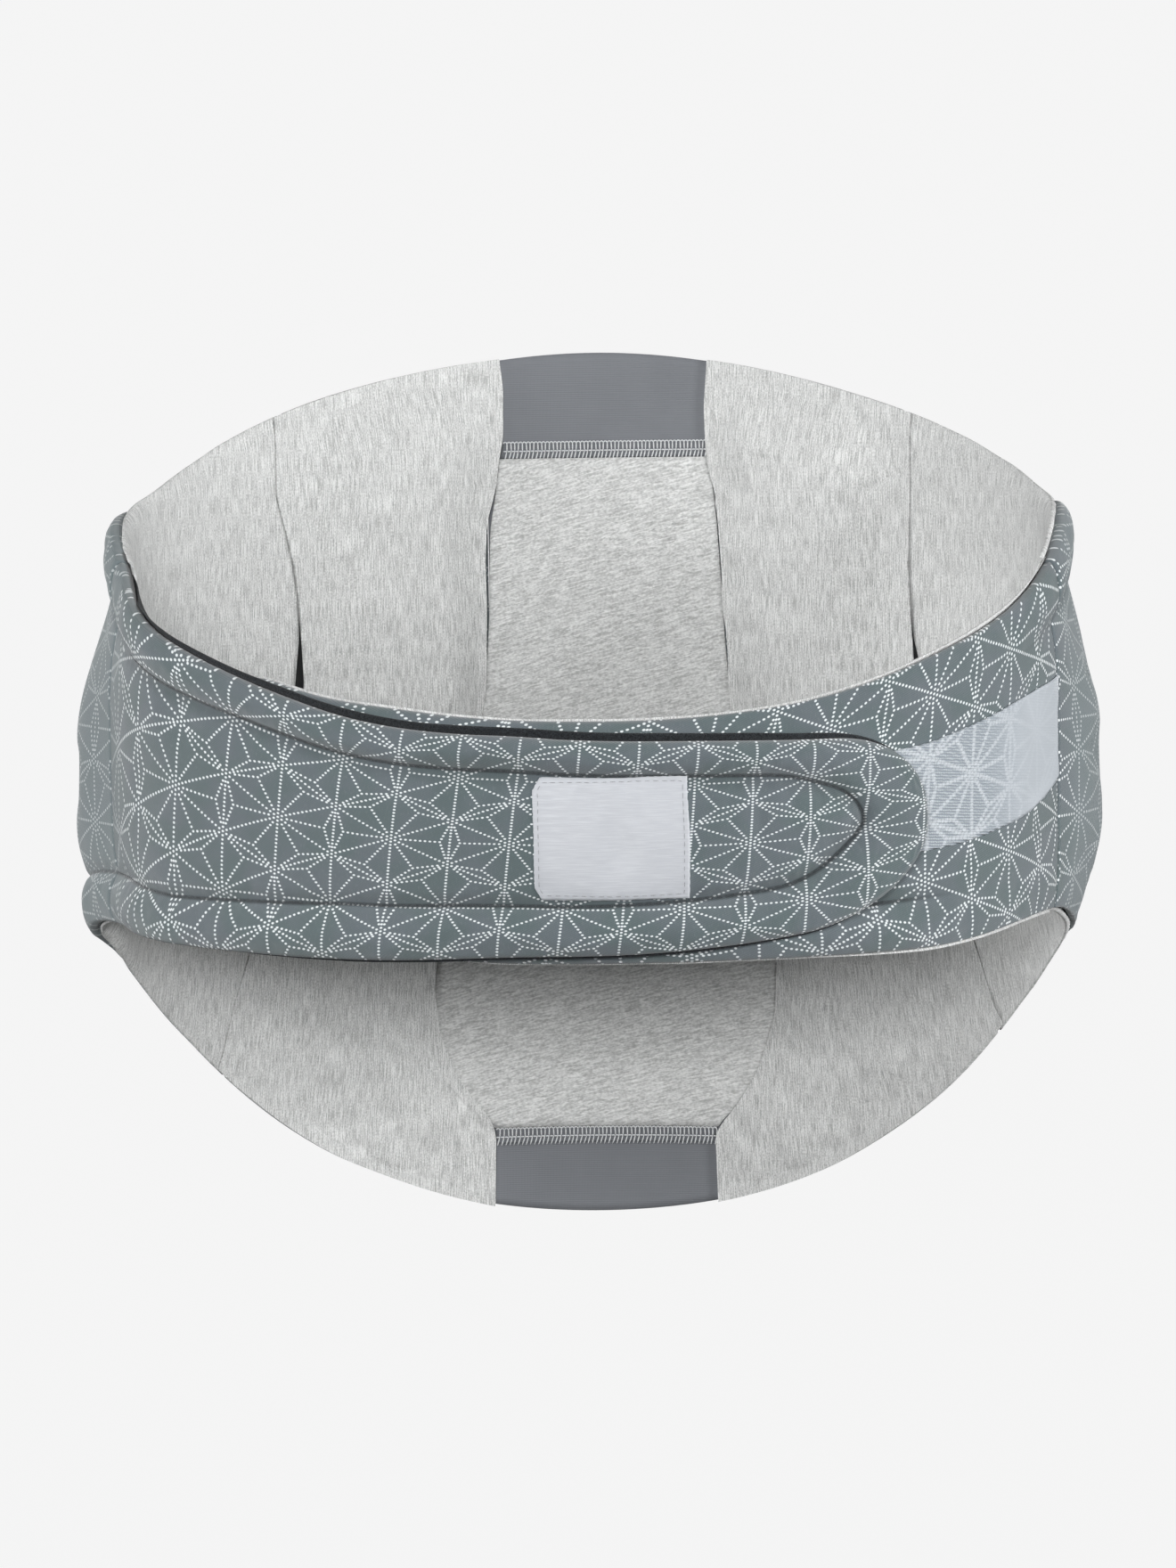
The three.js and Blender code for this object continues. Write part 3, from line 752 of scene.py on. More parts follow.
# %% Star print finish
STATE_FULL = 1000.0


def painted_seam_shade(tree, cut):
    """Painted shade: 1 in the furrow of the stitches, up to 0.3 as painted shadow on the panel beside it, and
    0 elsewhere.
    """
    off = put(tree, "SeparateXYZ", map_millimetres(tree, "seam"), out=1)
    broken = stretched_noise(tree, cut, 1.6, 1.6, 2.0)
    near = steps(tree, sums(tree, "ABSOLUTE", sums(tree, "ADD", off, 0.15)), 1.3, 0.2)
    near = sums(tree, "MULTIPLY", near, steps(tree, broken, 0.25, 0.55, 0.6, 0.88))
    beside = sums(tree, "MULTIPLY", steps(tree, off, -1.0, 0.2), steps(tree, off, 6.5, 0.5, 0.0, 0.30))
    return sums(tree, "MAXIMUM", near, beside)


def painted_side_sheen(tree, cut):
    """Grows from 0 to 1 towards the two sides, where the print is painted lighter as sheen and lies out of
    focus.
    """
    along = put(tree, "SeparateXYZ", cut)
    left = steps(tree, along, -float(arc(60.0)), -float(arc(73.0)))
    right = steps(tree, along, float(arc(76.0)), float(arc(82.0)))
    return sums(tree, "MAXIMUM", left, right)


def make_star_print():
    finish, tree, shader = start_finish("star_print", 0.90, 0.35, 0.12)
    cut = map_millimetres(tree, "cut")
    ragged = stretched_noise(tree, cut, 0.35, 0.35)
    distance = sums(tree, "MULTIPLY_ADD", ragged, 0.24, star_dots(tree, map_millimetres(tree, "star")))
    ink = steps(tree, distance, DOT_RADIUS + 0.26, DOT_RADIUS - 0.02)
    patches = steps(tree, stretched_noise(tree, cut, 26.0, 20.0, 2.0), 0.38, 0.62)
    knit = ribs(tree, cut, math.radians(68.0), 0.52)
    ground = colour_between(tree, patches, paint(88, 102, 104), paint(97, 106, 112))
    ground = colour_between(tree, sums(tree, "MULTIPLY", knit, 0.30), ground, paint(114, 125, 128))
    fibres = stretched_noise(tree, cut, 0.5, 1.8, 4.0)
    ground = colour_between(tree, steps(tree, fibres, 0.52, 0.80, 0.0, 0.35), ground, paint(138, 147, 150))
    cover = sums(tree, "MULTIPLY", ink, steps(tree, fibres, 0.10, 0.50, 0.85, 1.0))
    colour = colour_between(tree, cover, ground, paint(236, 241, 243))
    state = map_millimetres(tree, "state")
    reverse_shade, soft = put(tree, "SeparateXYZ", state), put(tree, "SeparateXYZ", state, out=1)
    firm = sums(tree, "MULTIPLY_ADD", soft, -1.0 / STATE_FULL, 1.0)
    # Painted shade in the stitch furrow and painted shadow beside it, left out where a furrow has softened.
    furrow = sums(tree, "MULTIPLY", painted_seam_shade(tree, cut), firm)
    # Painted sheen: the sides are painted lighter and flatter.
    side_sheen = sums(tree, "MULTIPLY", painted_side_sheen(tree, cut), 0.55)
    colour = colour_between(tree, side_sheen, colour, paint(118, 129, 132))
    colour = colour_between(tree, furrow, colour, paint(40, 45, 48))
    # Painted shade: the inner face is painted near-black where it shows, in the pocket mouths and at the
    # strap edges.
    reverse_shade = steps(tree, reverse_shade, 0.7 * STATE_FULL, STATE_FULL)
    colour = colour_between(tree, reverse_shade, colour, paint(26, 28, 30))
    tree.links.new(colour, shader.inputs["Base Color"])
    height = sums(tree, "ADD", sums(tree, "MULTIPLY", knit, 0.6), sums(tree, "MULTIPLY", fibres, 0.4))
    emboss(tree, shader, height, 0.16)
    return finish


star_print = make_star_print()
print("star print:", len(star_print.node_tree.nodes), "nodes")

# %% [markdown]
# ### Heather jersey
# The inside is light heather jersey: pale and dark fibres spun together, so each wale shows short streaks.
# On the sides and the pads the streaks run up and down; on the panel at the back they are softer and run
# across.

# %% Jersey finishes
JERSEY_MIDDLE = 0.49


def make_jersey(name, width, length, speck, distortion, lean, contrast, spread):
    finish, tree, shader = start_finish(name, 0.95, 0.20, 0.10)
    cut = put(tree, "VectorRotate", map_millimetres(tree, "cut"), None, None, lean, rotation_type="Z_AXIS")
    streaks = stretched_noise(tree, cut, width, length, 1.0, distortion)
    specks = stretched_noise(tree, vectors(tree, "ADD", cut, (53.0, 29.0, 0.0)), width, speck, 1.0)
    clouds = stretched_noise(tree, cut, width * 12.0, length * 1.5, 2.0, distortion)
    fine = sums(tree, "MULTIPLY_ADD", streaks, 0.50, sums(tree, "MULTIPLY", specks, 0.38))
    blend = sums(tree, "MULTIPLY_ADD", clouds, 0.12, fine)
    pale = steps(tree, blend, JERSEY_MIDDLE - spread, JERSEY_MIDDLE + spread)
    colour = colour_between(tree, pale, paint(171, 172, 171), paint(240, 241, 240))
    apart = vectors(tree, "ADD", cut, (37.0, 11.0, 0.0))
    short = stretched_noise(tree, apart, width * 1.2, length * 0.5, 1.0)
    dark = steps(tree, short, 0.56, 0.76, 0.0, contrast)
    colour = colour_between(tree, dark, colour, paint(140, 143, 144))
    knit = ribs(tree, cut, 0.0, 0.62)
    colour = colour_between(tree, sums(tree, "MULTIPLY", knit, 0.10), colour, paint(236, 237, 237))
    tree.links.new(colour, shader.inputs["Base Color"])
    emboss(tree, shader, sums(tree, "MULTIPLY_ADD", knit, 0.45, sums(tree, "MULTIPLY", streaks, 0.5)), 0.12)
    return finish


side_jersey = make_jersey("side_jersey", 0.40, 8.5, 0.8, 0.12, 0.0, 0.60, 0.15)
back_jersey = make_jersey("back_jersey", 0.90, 6.0, 1.3, 0.8, math.radians(104.0), 0.40, 0.215)
print("jerseys:", side_jersey.name, back_jersey.name)

# %% [markdown]
# ### Stretch knit, loop cloth, satin, hook tape and thread
# The stretch panel is a smooth, fine knit. The loop cloth inside the left strap is brushed, and its
# near-black
# colour is painted shade: it stands for the shadow in the gap along the strap's top edge. The label is white
# satin, glossier along its threads. The hook tape is clear nylon with rows of tiny hooks, so the print shows
# through it a little. Thread is twisted, which fine slanting ribs along its length give.

# %% Stretch knit and loop cloth
def make_stretch_knit(name, dark, light):
    finish, tree, shader = start_finish(name, 0.70, 0.10, 0.2)
    cut = map_millimetres(tree, "cut")
    wale, course = ribs(tree, cut, 0.0, 0.5), ribs(tree, cut, math.pi / 2.0, 0.9)
    mesh = sums(tree, "MULTIPLY_ADD", wale, 0.25, sums(tree, "MULTIPLY", course, 0.75))
    cloudy = steps(tree, stretched_noise(tree, cut, 14.0, 22.0, 2.0), 0.35, 0.65)
    colour = colour_between(tree, cloudy, paint(*dark), paint(*light))
    colour = colour_between(tree, sums(tree, "MULTIPLY", mesh, 0.20), colour, paint(146, 149, 154))
    tree.links.new(colour, shader.inputs["Base Color"])
    emboss(tree, shader, mesh, 0.08)
    return finish


# The loop cloth's near-black colour is painted shade, for the shadow in the gap along the left strap's top
# edge.
def make_shade_dark_loop_cloth():
    finish, tree, shader = start_finish("shade_dark_loop_cloth", 1.0, 0.15, 0.05)
    cut = map_millimetres(tree, "cut")
    loops = stretched_noise(tree, cut, 0.7, 0.7, 3.0, 1.5)
    colour = colour_between(tree, steps(tree, loops, 0.35, 0.70), paint(24, 27, 30), paint(52, 56, 60))
    tree.links.new(colour, shader.inputs["Base Color"])
    emboss(tree, shader, loops, 0.5)
    return finish


# %% Satin and hook tape
def make_satin():
    finish, tree, shader = start_finish("label_satin", 0.42, 0.15, 0.35)
    cut = map_millimetres(tree, "cut")
    weave = ribs(tree, cut, math.pi / 2.0, 0.34)
    slubs = stretched_noise(tree, cut, 9.0, 0.4, 3.0)
    colour = colour_between(tree, steps(tree, slubs, 0.40, 0.70), paint(193, 196, 202), paint(204, 207, 212))
    tree.links.new(colour, shader.inputs["Base Color"])
    emboss(tree, shader, sums(tree, "MULTIPLY_ADD", weave, 0.5, slubs), 0.05)
    return finish


def make_hook_nylon():
    finish, tree, shader = start_finish("hook_nylon", 0.50, 0.0, 0.3)
    cut = map_millimetres(tree, "cut")
    rows = ribs(tree, cut, math.radians(85.0), 1.06)
    teeth = ribs(tree, cut, math.radians(-5.0), 0.80)
    hooks = sums(tree, "MULTIPLY", steps(tree, rows, 0.15, 0.85), steps(tree, teeth, 0.05, 0.60, 0.55, 1.0))
    bare_end = steps(tree, put(tree, "SeparateXYZ", cut), float(arc(52.0)), float(arc(65.0)))
    plain = sums(tree, "MULTIPLY_ADD", bare_end, -0.85, 1.0)
    hooks = sums(tree, "MULTIPLY", hooks, plain)
    colour = colour_between(tree, hooks, paint(144, 153, 162), paint(194, 201, 207))
    colour = colour_between(tree, bare_end, colour, paint(184, 190, 196))
    distance = star_dots(tree, map_millimetres(tree, "star"))
    ink = steps(tree, distance, DOT_RADIUS + 0.75, DOT_RADIUS - 0.1, 0.0, 0.62)
    colour = colour_between(tree, sums(tree, "MULTIPLY", ink, plain), colour, paint(224, 229, 234))
    tree.links.new(colour, shader.inputs["Base Color"])
    emboss(tree, shader, hooks, 0.25)
    return finish


# %% Thread, and the smaller finishes made
def make_thread(name, dark, light):
    finish, tree, shader = start_finish(name, 0.7, 0.2, 0.3)
    place = put(tree, "TexCoord", out=3)
    twist = tree.nodes.new("ShaderNodeTexWave")
    twist.bands_direction = "DIAGONAL"
    for socket, value in (("Vector", place), ("Scale", 900.0), ("Distortion", 2.0), ("Detail", 1.0)):
        feed(tree, twist.inputs[socket], value)
    tree.links.new(colour_between(tree, twist.outputs[1], dark, light), shader.inputs["Base Color"])
    emboss(tree, shader, twist.outputs[1], 0.06)
    return finish


stretch_knit = make_stretch_knit("stretch_knit", (121, 124, 129), (123, 126, 131))
raw_edge = make_stretch_knit("raw_edge", (104, 107, 111), (112, 115, 119))
shade_dark_loop_cloth, label_satin, hook_nylon = make_shade_dark_loop_cloth(), make_satin(), make_hook_nylon()
grey_thread = make_thread("grey_thread", paint(44, 49, 53), paint(66, 73, 77))
pale_thread = make_thread("pale_thread", paint(206, 208, 210), paint(236, 237, 239))
label_thread = make_thread("label_thread", paint(140, 142, 147), paint(172, 174, 179))
print("small finishes ready")

# %% [markdown]
# ## Straps
# Each strap is a long padded tongue in the printed jersey, with a stuffed border, a row of stitches and a
# soft middle. It starts as a flat cut that is finer towards its tip. The left strap rides over the right
# one, so it is lifted off the oval where they overlap. After settling it is subdivided, and the stitch row
# is pulled in with small puckers.

# %% Place and section of a strap
STRAP_PANEL, STRAP_WAVE, LIFT_FROM, LIFT_TO = 6.8, 0.4, 74.0, 50.0
TIP_END, TIP_CROWDING, SEAM_THIN, SEAM_THIN_REACH = 0.05, 0.8, 0.97, 6.0
STAR_ROWS_HEIGHT = 118.0
# How the rows of stars run, up and aside, counted in stars for each 100 mm of the cut.
STAR_ROWS = {
    -1: {"start": (-3.21, 1.17), "along": (-2.25, 4.86), "up": (4.46, -0.4), "bow": (0.21, -0.06),
         "twist": (-0.15, 0.13), "crowding": (0.12, 0.02), "tail": (0.015, -0.095), "fan": (-0.4, 0.13)},
    1: {"start": (1.7, -5.7), "along": (-1.7, 3.75), "up": (3.7, 0.42), "bow": (-0.27, 0.31),
        "twist": (0.0, 0.14), "crowding": (0.35, -0.71), "tail": (0.0, 0.0), "fan": (0.0, 0.0)},
}


def strap_lift(half, own):
    return half["lift"] * ease(-own, -LIFT_FROM, -LIFT_TO)


def strap_station(half, share):
    """Station on the strap's own side, from its tip to its seam, with short steps near the tip."""
    crowded = mix(share, 1.0 - np.cos(share * math.pi / 2.0), TIP_CROWDING)
    return mix(half["tip"] + TIP_END, STRAP_SEAM - SEAM_GAP, crowded)


def own_share(half, across):
    return across if half["side"] > 0 else 1.0 - across


def star_map(half, own, height):
    """Where the stars lie: the rows of hubs bend a little, as the cloth is eased along the strap's edges."""
    low, high = bottom_line(half, own), top_line(half, own)
    u, v = half["side"] * arc(own) / 100.0, STAR_ROWS_HEIGHT * (height - low) / (high - low) / 100.0
    terms = {"start": 1.0, "along": u, "up": v, "bow": u * u, "twist": u * v, "crowding": v * v,
             "tail": u ** 3, "fan": u * u * v}
    rows = STAR_ROWS[half["side"]]
    up, aside = (sum(rows[name][way] * term for name, term in terms.items()) for way in (0, 1))
    return STAR_SPACING * math.sqrt(0.75) * aside, STAR_SPACING * (up + aside / 2.0)


def strap_spot(half):
    def spot(across, up):
        own = strap_station(half, own_share(half, across))
        height = mix(bottom_edge(half, own), top_edge(half, own), crowd_edges(up))
        depth, border, run = edge_depth(strap_edges[half["side"]], arc(own), height)
        panel = STRAP_PANEL + cloth_wave(arc(own), height, STRAP_WAVE)
        inner, outer = padded_inner(depth), padded_outer(depth, border, panel)
        outer = slack_section(depth, outer, panel, slack(half, own, height))
        thin = mix(SEAM_THIN, 1.0, ease(STRAP_SEAM - own, 0.0, SEAM_THIN_REACH))
        lift = strap_lift(half, own)
        return {
            "station": half["side"] * own, "height": height,
            "inner": lift + inner, "outer": lift + inner + (outer - inner) * thin,
            "maps": {"star": star_map(half, own, height), "seam": (run, depth - border)},
        }
    return spot


# %% Stitches and state of a padded piece
def outward(points):
    """Direction out of the oval at each point."""
    across = points[:, 0] / OVAL_HALF_WIDTH ** 2
    ahead = points[:, 1] / OVAL_HALF_DEPTH ** 2
    length = np.maximum(1e-9, np.hypot(across, ahead))
    return np.stack([across / length, ahead / length, 0.0 * across], axis=-1)


PUCKER_PITCH, PUCKER_HEIGHT, PUCKER_PLACE, PUCKER_WIDTH = 5.6, 0.16, 2.6, 2.2
GROOVE_WIDTH, GROOVE_SWING, OUTSIDE_FACING = 1.3, 0.15, 0.15


def pull_in_stitches(piece, depth):
    """Presses the stitch row into the padding, with small puckers along it."""
    run, off = read_map(piece, "seam")
    firm = 1.0 - read_map(piece, "state")[1] / STATE_FULL
    is_outside = np.sum(read_normals(piece) * outward(read_points(piece)), axis=1) > OUTSIDE_FACING
    pucker = np.cos(2.0 * math.pi * run / PUCKER_PITCH)
    groove = -depth * np.exp(-(off / GROOVE_WIDTH) ** 2) * (1.0 - GROOVE_SWING + GROOVE_SWING * pucker)
    ripple = PUCKER_HEIGHT * pucker * np.exp(-((np.abs(off) - PUCKER_PLACE) / PUCKER_WIDTH) ** 2)
    push_along_normals(piece, np.where(is_outside, (groove + ripple) * firm, 0.0))


# Where the inner face of the printed cloth is painted near-black as shade: in the pocket mouths, and on the
# straps up to just past their seams.
POCKET_FROM, POCKET_TO, REVERSE_SHADE_TO = 104.0, SLIT + 20.0, STRAP_SEAM + 4.0


def write_state(piece, half, is_back):
    """Stores where the inner face of the cloth is painted near-black as shade and how far a furrow has
    softened.
    """
    along, height = read_map(piece, "cut")
    own = np.interp(half["side"] * along, ruler_arcs, ruler_stations)
    in_pocket = (own > POCKET_FROM) & (own < POCKET_TO)
    reverse_shade = is_back & (in_pocket | (own < REVERSE_SHADE_TO))
    write_map(piece, "state", STATE_FULL * reverse_shade, STATE_FULL * soft_furrow(half, own, height))


def dress(piece, node, finish):
    """Gives a piece its finish and its place in the belt."""
    piece.data.materials.append(finish)
    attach(piece, "root")
    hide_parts(node)


# %% Make the straps
SEAM_HELD, STITCH_HELD, EDGE_HELD, PADDING_PRESSURE, STITCH_DEPTH = 3.0, 2.0, 1.5, 2.0, 0.9
STRAP_CUT, STRAP_GIVE, STRAP_FILL = (150, 36), (0.7, 0.012), 0.5


def make_padded(half, name, cut, spot, edges, seams, give):
    """Cuts, wraps, settles and stitches a printed padded piece.

    seams: the stations where it is sewn on. give: how far a point may move, and how much the cloth grows.
    """
    piece = cut_cloth(name + "_padding", *cut)
    is_back = wrap(piece, spot(half))
    write_state(piece, half, is_back)
    off = read_map(piece, "seam")[1]
    along, height = read_map(piece, "cut")
    own_along = half["side"] * along
    depth = edge_depth(edges[half["side"]], own_along, height)[0]
    free = ~is_back & (np.abs(off) > STITCH_HELD) & (depth > EDGE_HELD)
    for seam in seams:
        free &= np.abs(own_along - float(arc(seam))) > SEAM_HELD
    moved = settle(piece, free, PADDING_PRESSURE, *give)
    refine(piece)
    pull_in_stitches(piece, STITCH_DEPTH)
    dress(piece, name, star_print)
    print(piece.name, len(piece.data.polygons), "faces, padding moved", round(moved, 2), "mm")
    return piece


straps = {}
for half, name in ((LEFT, "left_strap"), (RIGHT, "right_strap")):
    made = make_padded(half, name, STRAP_CUT, strap_spot, strap_edges, (STRAP_SEAM,), STRAP_GIVE)
    straps[half["side"]] = made

# %% [markdown]
# ## Wings
# A wing is the tall padded side of the belt, from the strap's seam to the stretch panel. It is made as a
# strap is, and its padding swells over the hip. The swell fades towards both borders, so the borders stay
# firm.

# %% Swell over the hip
WING_SWELL, SWELL_FROM_BOTTOM = {-1: 12.3, 1: 11.3}, {-1: 3.0, 1: -8.0}
SWELL_STARTS, SWELL_ENDS = (STRAP_SEAM, 92.0), (104.0, 152.0)
SWELL_FULL_ABOVE, SWELL_UNDER_TOP, EDGE_SWELL_REACH = 45.0, (22.0, 90.0), 16.0
FULL_ROLL, FULL_ROLL_ENDS = 0.72, (85.0, 97.0)


def wing_swell(half, own, height):
    """The padding over the hip. It fades towards the edges, less so under the furrow of the left side."""
    round_hip = ease(own, *SWELL_STARTS) * (1.0 - ease(own, *SWELL_ENDS))
    full_roll = FULL_ROLL * (1.0 - ease(own, *FULL_ROLL_ENDS)) if half["side"] < 0 else 0.0 * own
    from_bottom = height - bottom_edge(half, own)
    above = mix(full_roll, 1.0, ease(from_bottom, SWELL_FROM_BOTTOM[half["side"]], SWELL_FULL_ABOVE))
    below = ease(top_edge(half, own) - height, *SWELL_UNDER_TOP)
    return WING_SWELL[half["side"]] * round_hip * above * below


def edge_swell(half, own, height, depth):
    """The part of the swell that also carries the inside out with it, beside an edge."""
    return wing_swell(half, own, height) * (1.0 - ease(depth, 0.0, EDGE_SWELL_REACH))


# %% Make the wings
WING_PANEL, WING_WAVE, WING_RETREAT, RETREAT_STARTS = 6.6, 0.5, 3.0, (90.0, 102.0)
FLAT_BORDER, FLAT_BORDER_STARTS, FLAT_BORDER_DEPTHS = 0.35, (87.0, 102.0), (0.4, 1.5)
BACK_THIN, BACK_THIN_FROM = 0.5, 156.0
WING_CUT, WING_GIVE, WING_FILL = (90, 72), (0.5, 0.015), 0.6


def wing_spot(half):
    def spot(across, up):
        own = mix(STRAP_SEAM + SEAM_GAP, BACK_SEAM, own_share(half, across))
        retreat = WING_RETREAT * ease(own, *RETREAT_STARTS)
        low, high = bottom_edge(half, own) + retreat, top_edge(half, own) - retreat
        height = mix(low, high, crowd_edges(up, 0.5))
        depth, border, run = edge_depth(wing_edges[half["side"]], arc(own), height)
        depth = np.maximum(0.0, depth - retreat)
        panel = WING_PANEL + cloth_wave(arc(own), height, WING_WAVE)
        inner, outer = padded_inner(depth, edge_curl(own)), padded_outer(depth, border, panel)
        outer = slack_section(depth, outer, panel, slack(half, own, height))
        on_border = 1.0 - ease(depth / border, *FLAT_BORDER_DEPTHS)
        flatter = mix(1.0, FLAT_BORDER, ease(own, *FLAT_BORDER_STARTS) * on_border)
        outer = inner + (outer - inner) * flatter + wing_swell(half, own, height)
        inner = inner + edge_swell(half, own, height, depth)
        front = mix(SEAM_THIN, 1.0, ease(own, STRAP_SEAM, STRAP_SEAM + SEAM_THIN_REACH))
        back = mix(1.0, BACK_THIN, ease(own, BACK_THIN_FROM, BACK_SEAM))
        return {
            "station": half["side"] * own, "height": height,
            "inner": inner, "outer": inner + (outer - inner) * front * back,
            "maps": {"star": (half["side"] * arc(own), height), "seam": (run, depth - border)},
        }
    return spot


for half, name in ((LEFT, "left_wing"), (RIGHT, "right_wing")):
    make_padded(half, name, WING_CUT, wing_spot, wing_edges, (STRAP_SEAM, BACK_SEAM), WING_GIVE)

# %% [markdown]
# ## Linings
# The inside is faced with thin cloth: jersey, and in the left strap a loop cloth painted near-black as shade,
# for the shadow in the gap along that strap's top edge. Near the edges it turns outwards and follows the
# rolled border, and it stands a little above it, as a facing does that is turned and stitched; the loop cloth
# shows most, as a dark rim of painted shade. Each lining is one sheet with two sides.

# %% Measures of a sheet
def flat_size(piece):
    """Width, length and area of the flat cut, in metres, from the cloth's own measures."""
    along, across = read_map(piece, "cut")
    layer = piece.data.uv_layers["cut"].data
    area = 0.0
    for polygon in piece.data.polygons:
        ring = [layer[k].uv for k in polygon.loop_indices]
        area += abs(sum(a.x * b.y - b.x * a.y for a, b in zip(ring, ring[1:] + ring[:1]))) / 2.0
    return (float(np.ptp(along)) * MM, float(np.ptp(across)) * MM), area / 2.0


def declare_sheet(piece):
    flat, area = flat_size(piece)
    area = min(area, flat[0] * flat[1])
    print(piece.name, len(piece.data.polygons), "faces, cut", [round(v / MM) for v in flat], "mm")


# %% Shape of the strap linings
LINING_GAP, STRAP_LINING_THICK, SEAM_LINING_SHARE, LINING_THINS_FROM = 0.5, 1.1, 0.3, 62.0
LINING_RISE = {
    -1: {"own": (-42.0, -36.0, -28.0, -5.0, 25.0, 40.0, 52.0, 60.0, 66.0, 71.0, 75.0),
         "top": (0.2, 1.0, 2.2, 3.0, 2.8, 2.1, 1.6, 0.5, -1.6, -3.6, -5.2),
         "bottom": (0.2, 0.6, 0.9, 0.9, 0.8, 0.2, 0.2, 0.2, 0.2, 0.2, 0.2)},
    1: {"own": (-47.0, 25.0, 42.0, 55.0, 75.0),
        "top": (0.5, 0.6, 1.0, 1.5, 1.5),
        "bottom": (0.5, 0.5, 1.1, 1.4, 1.4)},
}


def facing(depth, curl=1.0):
    """Outer offset of a facing that follows the inner side of a rolled border."""
    return padded_inner(depth, curl) - LINING_GAP


def uneven(along, reach):
    """A slow unevenness of a hand-turned edge."""
    return reach * (0.6 * np.sin(along / 13.0) + 0.4 * np.sin(along / 5.3 + 1.0))


def strap_lining_spot(half):
    rises = LINING_RISE[half["side"]]

    def spot(across, up):
        own = strap_station(half, own_share(half, across))
        top, bottom = top_edge(half, own), bottom_edge(half, own)
        above = np.interp(own, rises["own"], rises["top"]) + uneven(arc(own), 0.15)
        below = np.interp(own, rises["own"], rises["bottom"]) + uneven(arc(own) + 60.0, 0.1)
        height = mix(bottom - below, top + above, crowd_edges(up))
        depth = edge_depth(strap_edges[half["side"]], arc(own), height)[0]
        depth = np.where((height > top) | (height < bottom), 0.0, depth)
        outer = strap_lift(half, own) + facing(depth)
        thick = STRAP_LINING_THICK * mix(1.0, SEAM_LINING_SHARE, ease(own, LINING_THINS_FROM, STRAP_SEAM))
        return {"station": half["side"] * own, "height": height, "inner": outer - thick, "outer": outer}
    return spot


# %% Mouths of the pad pockets
SLIT_ARC, MOUTH_ROUNDS = 2.76, 7
# Stations of a mouth at heights: it bends towards the spine on its way down and then back to the side.
SLIT_LINE = {
    -1: ((-165.0, -150.0, -124.0, -103.0, -70.0, -30.0, 8.0, 25.0, 44.0, 56.0, 70.0, 84.0, 130.0),
         (123.4, 124.3, 126.2, 128.7, 132.4, 136.0, 137.3, 136.9, 136.5, 135.9, 134.7, 133.3, 133.3)),
    1: ((-145.0, -125.0, -104.0, -70.0, -30.0, 16.0, 30.0, 53.0, 93.0, 130.0),
        (118.8, 121.8, 124.2, 129.2, 133.4, 134.2, 134.5, 135.0, 134.7, 134.8)),
}
SLIT_COVER = {
    -1: ((-130.0, -112.0, -104.0, -60.0, 0.0, 9.0, 28.0, 42.0),
         (3.0, 2.0, 0.6, -2.0, -4.0, -3.5, 0.0, 2.0)),
    1: ((-130.0, -110.0, -60.0, 5.0, 15.0, 24.0, 42.0),
        (3.0, 2.0, -2.0, -3.6, -2.0, 0.0, 2.0)),
}


def mouth(half, rise):
    """Station and height of a mouth at a share of its height, found in rounds, as each needs the other."""
    own = SLIT + 0.0 * rise
    for _ in range(MOUTH_ROUNDS):
        own = np.interp(mix(bottom_edge(half, own), top_edge(half, own), rise), *SLIT_LINE[half["side"]])
    return own, mix(bottom_edge(half, own), top_edge(half, own), rise)


def slit_cover(half, height):
    """How far the lip reaches over the side lining, in millimetres; below 0 the mouth gapes."""
    return np.interp(height, *SLIT_COVER[half["side"]])


# %% Shape of the side linings
SIDE_LINING_THICK, SIDE_EDGE_SHARE, SIDE_EDGE_REACH = 2.0, 0.4, 8.0
FOLD_HEIGHT, FOLD_SLANT = 0.42, 0.55
FOLD_STARTS, FOLD_ENDS, FOLD_HEIGHTS = (96.0, 116.0), (128.0, 134.0), (0.0, 30.0)
SIDE_RISE = {
    -1: ((75.0, 84.0, 96.0, 104.0, 114.0, 119.0), (-0.3, 0.5, 0.9, 1.1, 1.1, 0.5)),
    1: ((75.0, 86.0, 96.0, 104.0, 112.0, 117.0), (1.5, 1.3, 1.0, 1.1, 1.1, 0.5)),
}


def lining_folds(own, height):
    """Soft slanting folds of the loose lining beside the pocket's mouth, in millimetres."""
    slant = arc(own) * FOLD_SLANT + height
    fold = np.sin(slant / 6.5) + 0.6 * np.sin(slant / 3.9 + arc(own) / 17.0)
    beside_mouth = FOLD_HEIGHT * fold * ease(own, *FOLD_STARTS) * (1.0 - ease(own, *FOLD_ENDS))
    return beside_mouth * ease(height, *FOLD_HEIGHTS)


def side_lining_spot(half):
    def spot(across, up):
        share = own_share(half, across)
        slit, slit_height = mouth(half, crowd_edges(up, 0.5))
        slit_edge = slit + slit_cover(half, slit_height) / SLIT_ARC
        own = mix(STRAP_SEAM, slit_edge, share)
        rise = np.interp(own, *SIDE_RISE[half["side"]]) + uneven(arc(own), 0.2)
        low, high = bottom_edge(half, own) - np.abs(rise), top_edge(half, own) + rise
        height = mix(low, high, crowd_edges(up, 0.5))
        depth = edge_depth(wing_edges[half["side"]], arc(own), height)[0]
        outer = facing(depth, edge_curl(own)) + edge_swell(half, own, height, depth)
        thick = SIDE_LINING_THICK + lining_folds(own, height)
        inner = outer - thick * mix(SIDE_EDGE_SHARE, 1.0, ease(depth, 0.0, SIDE_EDGE_REACH))
        return {"station": half["side"] * own, "height": height, "inner": inner, "outer": outer}
    return spot


